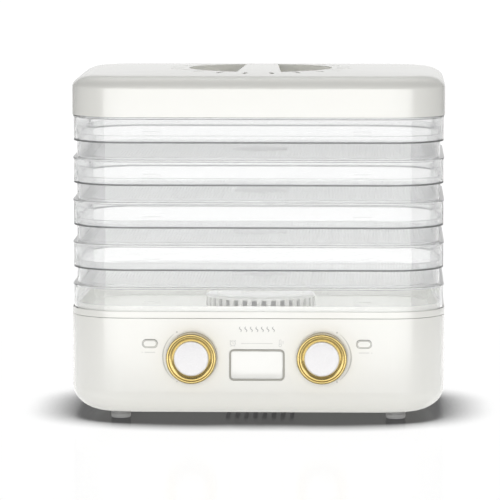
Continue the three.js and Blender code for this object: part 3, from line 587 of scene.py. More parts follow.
def scaled(wiring: Wiring, vector: object, scale: object) -> bpy.types.NodeSocket:
    """Multiplies a vector by a number or by three numbers."""
    if isinstance(scale, tuple):
        return wiring.node("VectorMath", {0: vector, 1: scale}, operation="MULTIPLY").outputs[0]
    return wiring.node("VectorMath", {0: vector, "Scale": scale}, operation="SCALE").outputs[0]


def moulded_skin() -> bpy.types.NodeTree:
    """Fine texture of moulded plastic: a height, and a slow change of tone from 0 to 1."""
    wiring, given, result = effect("moulded_skin", {"Grain": 1.0}, ("Height", "Tone"))
    here = wiring.here()
    fine = wiring.noise(scaled(wiring, here, 900.0), 1.0, 2, 0.6)
    waves = wiring.noise(here, 22.0, 1, 0.5)
    grain = wiring.maths("MULTIPLY", fine, given.outputs["Grain"])
    height = wiring.maths("ADD", grain, wiring.maths("MULTIPLY", waves, 0.12))
    wiring.feed(result.inputs["Height"], height)
    wiring.feed(result.inputs["Tone"], wiring.noise(here, 9.0, 3, 0.55))
    return wiring.tree


def handling_marks() -> bpy.types.NodeTree:
    """Faint wiping marks and specks of dust: masks from 0 to 1."""
    wiring, given, result = effect("handling_marks", {"Amount": 1.0}, ("Smears", "Dust"))
    here = wiring.here()
    smear = wiring.noise(scaled(wiring, here, (35.0, 35.0, 90.0)), 1.0, 4, 0.6)
    smears = wiring.span(smear, 0.5, 0.75, 0.0, 1.0)
    dust = wiring.span(wiring.noise(here, 1400.0, 1, 0.4), 0.7, 0.8, 0.0, 1.0)
    wiring.feed(result.inputs["Smears"], wiring.maths("MULTIPLY", smears, given.outputs["Amount"]))
    wiring.feed(result.inputs["Dust"], wiring.maths("MULTIPLY", dust, given.outputs["Amount"]))
    return wiring.tree


def turning_lines() -> bpy.types.NodeTree:
    """Tool marks round an axis along Y at (Across, Up), on both sides of x = 0: a height, and a tone that paints a
    sheen, lighter and darker with the angle round the axis.
    """
    given_values = {"Across": 0.052, "Up": 0.054, "Pitch": 6000.0}
    wiring, given, result = effect("turning_lines", given_values, ("Height", "Tone"))
    parts = wiring.node("SeparateXYZ", {0: wiring.here()})
    x = wiring.maths("SUBTRACT", wiring.maths("ABSOLUTE", parts.outputs[0]), given.outputs["Across"])
    z = wiring.maths("SUBTRACT", parts.outputs[2], given.outputs["Up"])
    radius = wiring.maths("SQRT", wiring.maths("ADD", wiring.maths("MULTIPLY", x, x), wiring.maths("MULTIPLY", z, z)))
    run = wiring.maths("ADD", radius, parts.outputs[1])
    lines = wiring.node("TexNoise", {"W": wiring.maths("MULTIPLY", run, given.outputs["Pitch"]), "Scale": 1.0,
                                     "Detail": 3.0}, noise_dimensions="1D").outputs[0]
    # Painted sheen: the tone goes lighter and darker at random with the angle round the axis.
    angle = wiring.maths("ARCTAN2", z, x)
    painted_sheen = wiring.node("TexNoise", {"W": wiring.maths("MULTIPLY", angle, 3.0), "Scale": 1.0, "Detail": 2.0},
                        noise_dimensions="1D").outputs[0]
    wiring.feed(result.inputs["Height"], lines)
    wiring.feed(result.inputs["Tone"], painted_sheen)
    return wiring.tree


class Effects:
    """The shared effects, each built once."""

    def __init__(self) -> None:
        """Builds the effects."""
        self.skin = moulded_skin()
        self.marks = handling_marks()
        self.lines = turning_lines()


class Finish:
    """A material being made: its Principled shader and the shared effects."""

    def __init__(self, name: str, effects: Effects) -> None:
        """Starts a material.

        Args:
            name: the material's name.
            effects: the shared effects.
        """
        self.material = bpy.data.materials.new(name)
        self.material.use_nodes = True
        self.wiring = Wiring(self.material.node_tree)
        self.shader = self.material.node_tree.nodes["Principled BSDF"]
        self.output = self.material.node_tree.nodes["Material Output"]
        self.effects = effects

    def use(self, tree: bpy.types.NodeTree, **values: float) -> bpy.types.Node:
        """Places a shared effect with its values."""
        group = self.wiring.node("Group", node_tree=tree)
        for key, value in values.items():
            group.inputs[key].default_value = value
        return group

    def set(self, **values: object) -> None:
        """Sets or links the shader's inputs; underscores stand for spaces."""
        for key, value in values.items():
            self.wiring.feed(self.shader.inputs[key.replace("_", " ")], value)

    def bump(self, height: object, strength: float, distance: float) -> None:
        """Feeds a height to the shader's normal.

        Args:
            height: the socket that holds the height.
            strength: from 0 to 1.
            distance: how deep the height is, in millimetres.
        """
        links = {"Height": height, "Strength": strength, "Distance": distance * MM}
        self.set(Normal=self.wiring.node("Bump", links).outputs[0])


Colour = tuple[float, float, float]


def rgba(colour: Colour, gain: float = 1.0) -> tuple[float, float, float, float]:
    """A colour made lighter or darker, with full alpha."""
    return (*(min(part * gain, 1.0) for part in colour), 1.0)


@dataclass(frozen=True)
class MouldedPlastic:
    """Moulded plastic or rubber: a slow change of tone, a fine skin and faint wiping marks."""

    name: str
    colour: Colour
    roughness: float = 0.3
    grain: float = 0.5
    depth: float = 0.02
    coat: float = 0.0
    spread: float = 0.03
    marks: float = 0.5

    def build(self, effects: Effects) -> bpy.types.Material:
        """Makes the material.

        Args:
            effects: the shared effects.

        Returns:
            The material.
        """
        finish = Finish(self.name, effects)
        wiring = finish.wiring
        skin = finish.use(effects.skin, Grain=self.grain)
        marks = finish.use(effects.marks, Amount=self.marks)
        dark, light = rgba(self.colour, 1 - self.spread), rgba(self.colour, 1 + self.spread)
        tone = wiring.blend(skin.outputs["Tone"], dark, light)
        speck = wiring.maths("MULTIPLY", marks.outputs["Dust"], 0.12)
        dusty = wiring.blend(speck, tone, rgba((0.62, 0.6, 0.56)))
        rough = wiring.span(marks.outputs["Smears"], 0.0, 1.0, self.roughness, self.roughness + 0.08)
        finish.set(Base_Color=dusty, Roughness=rough, Coat_Weight=self.coat, Coat_Roughness=0.14)
        finish.bump(skin.outputs["Height"], 0.15, self.depth)
        return finish.material


@dataclass(frozen=True)
class ClearPlastic:
    """Clear moulded plastic, with a faint haze. Lamps shine straight through it."""

    name: str
    tint: Colour = (0.99, 0.99, 0.99)
    roughness: float = 0.03
    haze: float = 0.1
    veil: Colour = (0.93, 0.94, 0.94)
    bending: float = 1.46

    def build(self, effects: Effects) -> bpy.types.Material:
        """Makes the material.

        Args:
            effects: the shared effects.

        Returns:
            The material.
        """
        finish = Finish(self.name, effects)
        wiring = finish.wiring
        skin = finish.use(effects.skin, Grain=0.2)
        marks = finish.use(effects.marks, Amount=0.5)
        tone = wiring.blend(skin.outputs["Tone"], rgba(self.tint, 0.97), rgba(self.tint))
        rough = wiring.span(marks.outputs["Smears"], 0.0, 1.0, self.roughness, self.roughness + 0.1)
        finish.set(Base_Color=tone, Roughness=rough, Transmission_Weight=1.0, IOR=self.bending)
        finish.bump(skin.outputs["Height"], 0.1, 0.02)
        cloudy = wiring.node("BsdfPrincipled", {"Base Color": rgba(self.veil), "Roughness": 0.4})
        body = wiring.node("MixShader", {0: self.haze, 1: finish.shader.outputs[0], 2: cloudy.outputs[0]})
        clear = wiring.node("BsdfTransparent", {0: rgba((0.96, 0.965, 0.965))})
        path = wiring.node("LightPath")
        whole = wiring.node("MixShader", {0: path.outputs["Is Shadow Ray"], 1: body.outputs[0], 2: clear.outputs[0]})
        wiring.feed(finish.output.inputs[0], whole.outputs[0])
        return finish.material


@dataclass(frozen=True)
class PearlPlastic:
    """Pearl white satin plastic with fine mica flakes."""

    name: str
    colour: Colour = (0.66, 0.65, 0.655)

    def build(self, effects: Effects) -> bpy.types.Material:
        """Makes the material.

        Args:
            effects: the shared effects.

        Returns:
            The material.
        """
        finish = Finish(self.name, effects)
        wiring = finish.wiring
        flakes = wiring.node("TexVoronoi", {"Vector": wiring.here(), "Scale": 2600.0}).outputs["Color"]
        shine = wiring.node("SeparateColor", {0: flakes}).outputs[0]
        skin = finish.use(effects.skin, Grain=0.3)
        tone = wiring.blend(skin.outputs["Tone"], rgba(self.colour, 0.97), rgba(self.colour, 1.02))
        pearl = wiring.blend(wiring.maths("MULTIPLY", shine, 0.25), tone, rgba((0.92, 0.92, 0.95)))
        finish.set(Base_Color=pearl, Roughness=wiring.span(shine, 0, 1, 0.28, 0.4), Metallic=0.15,
                   Coat_Weight=0.6, Coat_Roughness=0.08)
        finish.bump(skin.outputs["Height"], 0.1, 0.01)
        return finish.material


@dataclass(frozen=True)
class TurnedMetal:
    """Bright metal turned on a lathe, with marks round the knobs' axes and a painted sheen that changes with the angle
    round them.
    """

    name: str
    colour: Colour = (0.46, 0.36, 0.15)
    roughness: float = 0.2
    pitch: float = 6000.0

    def build(self, effects: Effects) -> bpy.types.Material:
        """Makes the material.

        Args:
            effects: the shared effects.

        Returns:
            The material.
        """
        finish = Finish(self.name, effects)
        wiring = finish.wiring
        lines = finish.use(effects.lines, Pitch=self.pitch)
        marks = finish.use(effects.marks, Amount=0.6)
        # The lines' tone is a painted sheen round the knob's axis.
        tone = wiring.blend(lines.outputs["Tone"], rgba(self.colour, 0.93), rgba(self.colour, 1.08))
        rough = wiring.span(marks.outputs["Smears"], 0, 1, self.roughness, self.roughness + 0.1)
        finish.set(Base_Color=tone, Roughness=rough, Metallic=1.0)
        finish.bump(lines.outputs["Height"], 0.12, 0.02)
        return finish.material


@dataclass(frozen=True)
class SheetMetal:
    """Rolled or drawn metal with fine streaks along one direction."""

    name: str
    colour: Colour = (0.55, 0.56, 0.57)
    roughness: float = 0.32
    streaks: tuple[float, float, float] = (1600.0, 60.0, 1600.0)

    def build(self, effects: Effects) -> bpy.types.Material:
        """Makes the material.

        Args:
            effects: the shared effects.

        Returns:
            The material.
        """
        finish = Finish(self.name, effects)
        wiring = finish.wiring
        run = wiring.noise(scaled(wiring, wiring.here(), self.streaks), 1.0, 3, 0.6)
        marks = finish.use(effects.marks, Amount=0.8)
        tone = wiring.blend(run, rgba(self.colour, 0.85), rgba(self.colour, 1.12))
        stain = wiring.blend(wiring.maths("MULTIPLY", marks.outputs["Smears"], 0.3), tone, rgba(self.colour, 0.6))
        rough = wiring.span(run, 0, 1, self.roughness - 0.06, self.roughness + 0.1)
        finish.set(Base_Color=stain, Roughness=rough, Metallic=1.0)
        finish.bump(run, 0.15, 0.02)
        return finish.material


@dataclass(frozen=True)
class DisplayWindow:
    """Gloss white window of a display that is off: the digits behind it are hardly seen."""

    name: str
    colour: Colour = (0.87, 0.87, 0.84)

    def build(self, effects: Effects) -> bpy.types.Material:
        """Makes the material.

        Args:
            effects: the shared effects.

        Returns:
            The material.
        """
        finish = Finish(self.name, effects)
        wiring = finish.wiring
        skin = finish.use(effects.skin, Grain=0.1)
        marks = finish.use(effects.marks, Amount=0.7)
        tone = wiring.blend(skin.outputs["Tone"], rgba(self.colour, 0.985), rgba(self.colour, 1.01))
        rough = wiring.span(marks.outputs["Smears"], 0, 1, 0.05, 0.14)
        finish.set(Base_Color=tone, Roughness=rough, Coat_Weight=1.0, Coat_Roughness=0.03)
        finish.bump(skin.outputs["Height"], 0.05, 0.01)
        return finish.material


@dataclass(frozen=True)
class CircuitBoard:
    """Green solder mask over copper tracks, with small plated holes."""

    name: str

    def build(self, effects: Effects) -> bpy.types.Material:
        """Makes the material.

        Args:
            effects: the shared effects.

        Returns:
            The material.
        """
        finish = Finish(self.name, effects)
        wiring = finish.wiring
        here = wiring.here()
        cells = {"Scale": 170.0, "Vector": here}
        tracks = wiring.node("TexVoronoi", cells, distance="MANHATTAN")
        lines = wiring.span(wiring.maths("FRACT", wiring.maths("MULTIPLY", tracks.outputs["Distance"], 3.0)),
                            0.42, 0.5, 0.0, 1.0)
        pads = wiring.span(wiring.node("TexVoronoi", {"Vector": here, "Scale": 260.0}).outputs["Distance"],
                           0.12, 0.16, 1.0, 0.0)
        mask = wiring.blend(lines, rgba((0.012, 0.1, 0.045)), rgba((0.03, 0.19, 0.08)))
        finish.set(Base_Color=wiring.blend(pads, mask, rgba((0.75, 0.72, 0.62))),
                   Roughness=wiring.span(pads, 0, 1, 0.32, 0.22), Metallic=pads)
        finish.bump(lines, 0.3, 0.03)
        return finish.material


@dataclass(frozen=True)
class MicaSheet:
    """Pressed mica: overlapping golden flakes."""

    name: str

    def build(self, effects: Effects) -> bpy.types.Material:
        """Makes the material.

        Args:
            effects: the shared effects.

        Returns:
            The material.
        """
        finish = Finish(self.name, effects)
        wiring = finish.wiring
        flakes = wiring.node("TexVoronoi", {"Vector": wiring.here(), "Scale": 420.0})
        shade = wiring.node("SeparateColor", {0: flakes.outputs["Color"]}).outputs[1]
        finish.set(Base_Color=wiring.blend(shade, rgba((0.36, 0.27, 0.15)), rgba((0.62, 0.53, 0.36))),
                   Roughness=wiring.span(shade, 0, 1, 0.35, 0.7))
        finish.bump(flakes.outputs["Distance"], 0.4, 0.05)
        return finish.material


@dataclass(frozen=True)
class HeaterWire:
    """Oxidised wire wound in a fine coil that runs round the axis of the fan."""

    name: str
    turns: float = 110.0

    def build(self, effects: Effects) -> bpy.types.Material:
        """Makes the material.

        Args:
            effects: the shared effects.

        Returns:
            The material.
        """
        finish = Finish(self.name, effects)
        wiring = finish.wiring
        parts = wiring.node("SeparateXYZ", {0: wiring.here()})
        y = wiring.maths("SUBTRACT", parts.outputs[1], PLAN.middle * MM)
        angle = wiring.maths("ARCTAN2", y, parts.outputs[0])
        wind = wiring.maths("SINE", wiring.maths("MULTIPLY", angle, self.turns))
        oxide = wiring.noise(wiring.here(), 160.0, 3, 0.6)
        tone = wiring.blend(oxide, rgba((0.16, 0.15, 0.15)), rgba((0.38, 0.33, 0.29)))
        finish.set(Base_Color=tone, Roughness=wiring.span(oxide, 0, 1, 0.35, 0.6), Metallic=0.9)
        finish.bump(wind, 0.9, 0.4)
        return finish.material


@dataclass(frozen=True)
class PanelInk:
    """Grey ink printed on the panel, a little worn and uneven."""

    name: str
    colour: Colour = (0.36, 0.36, 0.35)

    def build(self, effects: Effects) -> bpy.types.Material:
        """Makes the material.

        Args:
            effects: the shared effects.

        Returns:
            The material.
        """
        finish = Finish(self.name, effects)
        wiring = finish.wiring
        blots = wiring.noise(wiring.here(), 900.0, 3, 0.6)
        finish.set(Base_Color=wiring.blend(blots, rgba(self.colour, 0.9), rgba(self.colour, 1.15)),
                   Roughness=wiring.span(blots, 0, 1, 0.35, 0.55))
        finish.bump(blots, 0.1, 0.01)
        return finish.material


class Palette:
    """Every finish of the dehydrator, made once."""

    def __init__(self) -> None:
        """Makes the materials."""
        effects = Effects()
        recipes = [
            MouldedPlastic("cream_plastic", (0.87, 0.866, 0.825), 0.26, 0.35, 0.02, coat=0.8, marks=0.12, spread=0.012),
            MouldedPlastic("white_plastic", (0.78, 0.78, 0.76), 0.5, 1.0, 0.05),
            MouldedPlastic("black_plastic", (0.02, 0.02, 0.022), 0.42, 1.0, 0.05, marks=1.0, spread=0.15),
            MouldedPlastic("rubber", (0.3, 0.3, 0.3), 0.7, 1.5, 0.08, marks=1.0, spread=0.1),
            MouldedPlastic("grey_trim", (0.42, 0.41, 0.37), 0.32, 0.6, 0.02),
            ClearPlastic("clear_plastic"),
            # Dark, cloudy clear plastic for the skirt's foot: a painted shadow of the gap between the skirt and the
            # neck below.
            ClearPlastic("clear_foot_shadow", (0.55, 0.56, 0.56), 0.15, 0.9, (0.15, 0.155, 0.155)),
            ClearPlastic("clear_mesh", (0.98, 0.98, 0.98), 0.2, 0.3, (0.95, 0.95, 0.95), 1.12),
            PearlPlastic("pearl_plastic"),
            TurnedMetal("gold_ring"),
            TurnedMetal("turned_steel", (0.56, 0.57, 0.58), 0.28),
            SheetMetal("steel"),
            DisplayWindow("display_lens"),
            CircuitBoard("circuit_board"),
            MicaSheet("mica"),
            HeaterWire("nichrome"),
            PanelInk("panel_ink"),
            PanelInk("pale_ink", (0.56, 0.56, 0.54)),
        ]
        self.materials = {recipe.name: recipe.build(effects) for recipe in recipes}

    def dress(self, piece: Object, *names: str) -> Object:
        """Gives a piece its finishes in place of any it had.

        Args:
            piece: the object.
            names: finishes, in the order of the piece's material slots.

        Returns:
            The same object.
        """
        piece.data.materials.clear()
        for name in names:
            piece.data.materials.append(self.materials[name])
        return piece

    def repaint(self, node: Object, name: str) -> None:
        """Gives a carried-over CAD node a better material in its own slots."""
        for holder in node.material_slots:
            holder.material = self.materials[name]


# ---- Base --------------------------------------------------------------------------------------


@dataclass
class Housing:
    """Shell of the base: the control panel, the intake slots, and the posts inside."""

    low: float = 6.5
    high: float = 84.7
    wall: float = 2.6
    floor: float = 3.0
    round_width: float = 26.0
    round_height: float = 20.0
    intake_count: int = 8
    intake_size: Point = (3.6, 64.0)
    intake_pitch: float = 7.5
    post_place: Point = (112.0, 40.0)
    foot_place: Point = (111.0, 68.5)
    gland_place: Point = (-85.0, 34.0)

    def shell(self) -> Object:
        """The hollow shell with its rounded bottom edge, before it is cut."""
        shoulder = self.low + self.round_height
        shell = PLAN.block("base_shell", 0, shoulder, self.high)
        edit(shell)
        choose_cap(Cap.BOTTOM)
        climb(quarter(self.round_width, self.round_height, 10, True), Cap.BOTTOM)
        choose_cap(Cap.TOP)
        climb([(self.wall, 0), (0, shoulder - self.high)])
        inner = self.round_height - self.floor
        climb([(inset, -rise) for inset, rise in quarter(self.round_width, inner, 5, True)])
        outward()
        done()
        return shell

    def panel_cutters(self, panel: "ControlPanel") -> list[Object]:
        """Tools for the shallow recesses in the panel."""
        tools = []
        for side in SIDES.values():
            centre = (side * panel.knob_x, PLAN.front, panel.knob_z)
            tools.append(rod("recess", panel.knob_radius + 1, -0.8, 1, centre, Axis.FORWARD, 96))
        seat = (panel.bezel_size[0] + 0.6, panel.bezel_size[1] + 0.6)
        place = (0, panel.display_z)
        tools.append(tablet("seat", seat, panel.bezel_radius + 0.3, place, PLAN.front - 1, PLAN.front + 1.5))
        return tools

    def through_cutters(self, panel: "ControlPanel") -> list[Object]:
        """Tools for the holes that go right through the walls."""
        front, inside = PLAN.front - 1, PLAN.front + self.wall + 1
        tools = []
        for side in SIDES.values():
            centre = (side * panel.knob_x, PLAN.front, panel.knob_z)
            tools.append(rod("bushing_hole", 4.6, -self.wall - 1, 1, centre, Axis.FORWARD))
            size = (panel.button_size[0] + 0.8, panel.button_size[1] + 0.8)
            place = (side * panel.button_x, panel.button_z)
            tools.append(tablet("button_hole", size, size[1] / 2 - 0.01, place, front, inside))
        window = (panel.bezel_size[0] - 7.4, panel.bezel_size[1] - 7.4)
        tools.append(tablet("window", window, 1, (0, panel.display_z), front, inside))
        for i in range(self.intake_count):
            x = (i - (self.intake_count - 1) / 2) * self.intake_pitch
            size = (*self.intake_size, self.floor + 3)
            place = (x, PLAN.middle, self.low + self.floor / 2)
            tools.append(bar("intake", size, place, round_by=self.intake_size[0] / 2 - 0.05))
        for sx, sy in CORNERS.values():
            x, y = sx * self.post_place[0], PLAN.middle + sy * self.post_place[1]
            tools.append(turned("screw_hole", [(0, -1), (4, -1), (4, 2.5), (1.9, 2.5), (1.9, 5), (0, 5)],
                                (x, y, self.low), steps=24))
            x, y = sx * self.foot_place[0], PLAN.middle + sy * self.foot_place[1]
            tools.append(rod("stem_hole", 3.4, -1, 5, (x, y, self.low), steps=24))
        x, z = self.gland_place
        tools.append(rod("gland_hole", 6.4, -1, self.wall + 1, (x, PLAN.back - self.wall, z), Axis.BACKWARD))
        return tools

    def posts(self) -> Object:
        """Screw bosses, board posts and board pins, which are moulded in one with the shell."""
        floor = self.low + self.floor
        posts = []
        for sx, sy in CORNERS.values():
            centre = (sx * self.post_place[0], PLAN.middle + sy * self.post_place[1], floor)
            posts.append(turned("boss", [(1.9, -0.5), (5.2, -0.5), (5.2, 3), (4.8, 3.2), (1.9, 3.2), (1.9, -0.5)],
                                centre, steps=24))
            centre = (-81.5 + sx * 19.5, PLAN.middle + 30 + sy * 26, floor)
            posts.append(turned("pin", [(0, -0.5), (2.8, -0.5), (2.8, 4), (1.3, 4), (1.3, 7), (0.8, 7.6), (0, 7.6)],
                                centre, steps=20))
        for side in SIDES.values():
            centre = (side * 97, PLAN.front, 36)
            profile = [(1.4, 2.4), (3, 2.4), (3, 10.2), (1.4, 10.2), (1.4, 2.4)]
            posts.append(turned("board_post", profile, centre, Axis.BACKWARD, 24))
        return joined(posts, "base_posts")

    def build(self, palette: Palette, panel: "ControlPanel") -> None:
        """Builds and dresses the shell and the posts.

        Args:
            palette: the finishes.
            panel: the control panel, for the places of its holes.
        """
        shell = carve(self.shell(), *self.panel_cutters(panel))
        carve(shell, *self.through_cutters(panel))
        finish_piece(palette.dress(softened(shell, 0.5), "cream_plastic"), "base", "cream_plastic", "base_housing")
        posts = smoothed(self.posts())
        finish_piece(palette.dress(posts, "cream_plastic"), "base", "cream_plastic")


@dataclass
class Feet:
    """Four rubber feet with a stem through the base's floor and a ring of grip at the bottom."""

    radius: float = 8.0
    height: float = 6.5
    place: Point = (111.0, 68.5)

    def build(self, palette: Palette) -> None:
        """Builds and dresses the feet."""
        r, top = self.radius, self.height - 0.3
        profile = [(0, 0.7), (3.4, 0.7), (3.8, 0), (6.2, 0), (6.9, 0.15), (7.5, 0.6), (7.8, 1.3),
                   (r, 2.4), (r, 3.6), (7.6, 3.8), (7.6, 4.2), (r, 4.4), (r, top), (3, top), (3, 10), (0, 10)]
        first = None
        for name, (sx, sy) in CORNERS.items():
            centre = (sx * self.place[0], PLAN.middle + sy * self.place[1], 0)
            if first is None:
                first, origin = smoothed(turned(f"rubber_foot_{name}", profile, centre, steps=48)), Vector(centre)
                foot = first
            else:
                foot = copied(first, f"rubber_foot_{name}", Vector(centre) - origin)
            finish_piece(palette.dress(foot, "rubber"), "base", "rubber", f"foot_{name}")


@dataclass
class Deck:
    """Cover of the base: a rim, the seat and collar of the lowest tray, and a basin."""

    rim_low: float = 85.0
    rim_high: float = 90.3
    seat: float = 88.3
    collar_inset: float = 3.9
    collar_high: float = 94.3
    collar_wall: float = 2.0
    basin: float = 81.8
    thickness: float = 2.5
    outlet: float = 42.0
    post_place: Point = (112.0, 40.0)

    def build(self, palette: Palette) -> None:
        """Builds and dresses the deck and its posts."""
        deck = PLAN.block("deck_cover", 0, self.rim_low, self.rim_high)
        edit(deck)
        choose_cap(Cap.BOTTOM)
        climb([(3, 0), (0, self.rim_low - self.basin + self.thickness)], Cap.BOTTOM)
        choose_cap(Cap.TOP)
        climb([(0.8, 0), (0, self.seat - self.rim_high), (self.collar_inset - 0.8, 0),
               (0, self.collar_high - self.seat), (self.collar_wall, 0), (0, self.seat - self.collar_high),
               (3, self.basin - self.seat + 1), (0.6, -0.7), (0.8, -0.3)])
        outward()
        done()
        carve(deck, rod("outlet", self.outlet, -4, 4, (0, PLAN.middle, self.basin), steps=96))
        finish_piece(palette.dress(softened(deck, 0.35), "cream_plastic"), "base", "cream_plastic", "base_deck")
        posts = []
        for sx, sy in CORNERS.values():
            centre = (sx * self.post_place[0], PLAN.middle + sy * self.post_place[1], 0)
            profile = [(0, 79.4), (4.2, 79.4), (4, 13), (1.8, 13), (1.8, 23.5), (0, 23.5)]
            posts.append(turned("post", profile, centre, steps=24))
        posts = smoothed(joined(posts, "deck_posts"))
        finish_piece(palette.dress(posts, "cream_plastic"), "base", "cream_plastic")


@dataclass
class OutletGrille:
    """Round ribbed cover over the air outlet."""

    radius: float = 45.0
    low: float = 81.8
    height: float = 13.0
    slots: int = 36
    slot_size: Point = (4.0, 8.0)

    def build(self, palette: Palette) -> None:
        """Builds and dresses the grille."""
        r, h, spigot = self.radius, self.height, 41.2
        profile = [(0, h - 2), (r - 2.2, h - 2), (r - 2.2, 2), (spigot - 2, 2), (spigot - 2, -2.5),
                   (spigot, -2.5), (spigot, 0.3), (r + 1.7, 0.3), (r + 2, 0.6), (r + 2, 1.7), (r + 1.7, 2),
                   (r + 0.3, 2), (r, 2.3), (r, h - 2.2), (r - 0.6, h - 0.9), (r - 2, h - 0.1), (r - 3, h),
                   (r - 9, h), (r - 9.4, h - 0.5), (r - 10.2, h - 0.5), (r - 10.6, h), (16, h),
                   (15.6, h - 0.5), (0, h - 0.5)]
        centre = (0, PLAN.middle, self.low)
        grille = turned("ribbed_outlet", profile, centre, steps=144)
        width, tall = self.slot_size
        tools = []
        for i in range(self.slots):
            angle = TURN * (i + 0.5) / self.slots
            reach = r - 1.5
            place = (reach * math.cos(angle), PLAN.middle + reach * math.sin(angle), self.low + 2.6 + tall / 2)
            tools.append(bar("slot", (7, width, tall), place, angle))
        carve(grille, *tools)
        finish_piece(palette.dress(smoothed(grille), "cream_plastic"), "base", "cream_plastic", "outlet_grille")


@dataclass
class Gland:
    """Strain relief where the mains cord would enter the back wall; its bore is empty."""

    place: Point = (-85.0, 34.0)
    bore: float = 3.8

    def build(self, palette: Palette) -> None:
        """Builds and dresses the gland."""
        b = self.bore
        profile = [(b, -5.9), (7.5, -5.9), (7.5, -2.9), (6, -2.9), (6, 0.3), (8.1, 0.3), (8.5, 0.7), (8.5, 1.3),
                   (8.2, 1.9), (7.4, 2.3), (6.2, 2.5), (6, 2.2), (5.4, 2.2), (5.2, 2.5), (b + 0.3, 2.5),
                   (b, 2.2), (b, -5.9)]
        gland = turned("cord_strain_relief", profile, (self.place[0], PLAN.back, self.place[1]), Axis.BACKWARD, 64)
        finish_piece(palette.dress(smoothed(gland), "black_plastic"), "base", "black_plastic", "cord_gland")


# ---- Control panel -----------------------------------------------------------------------------


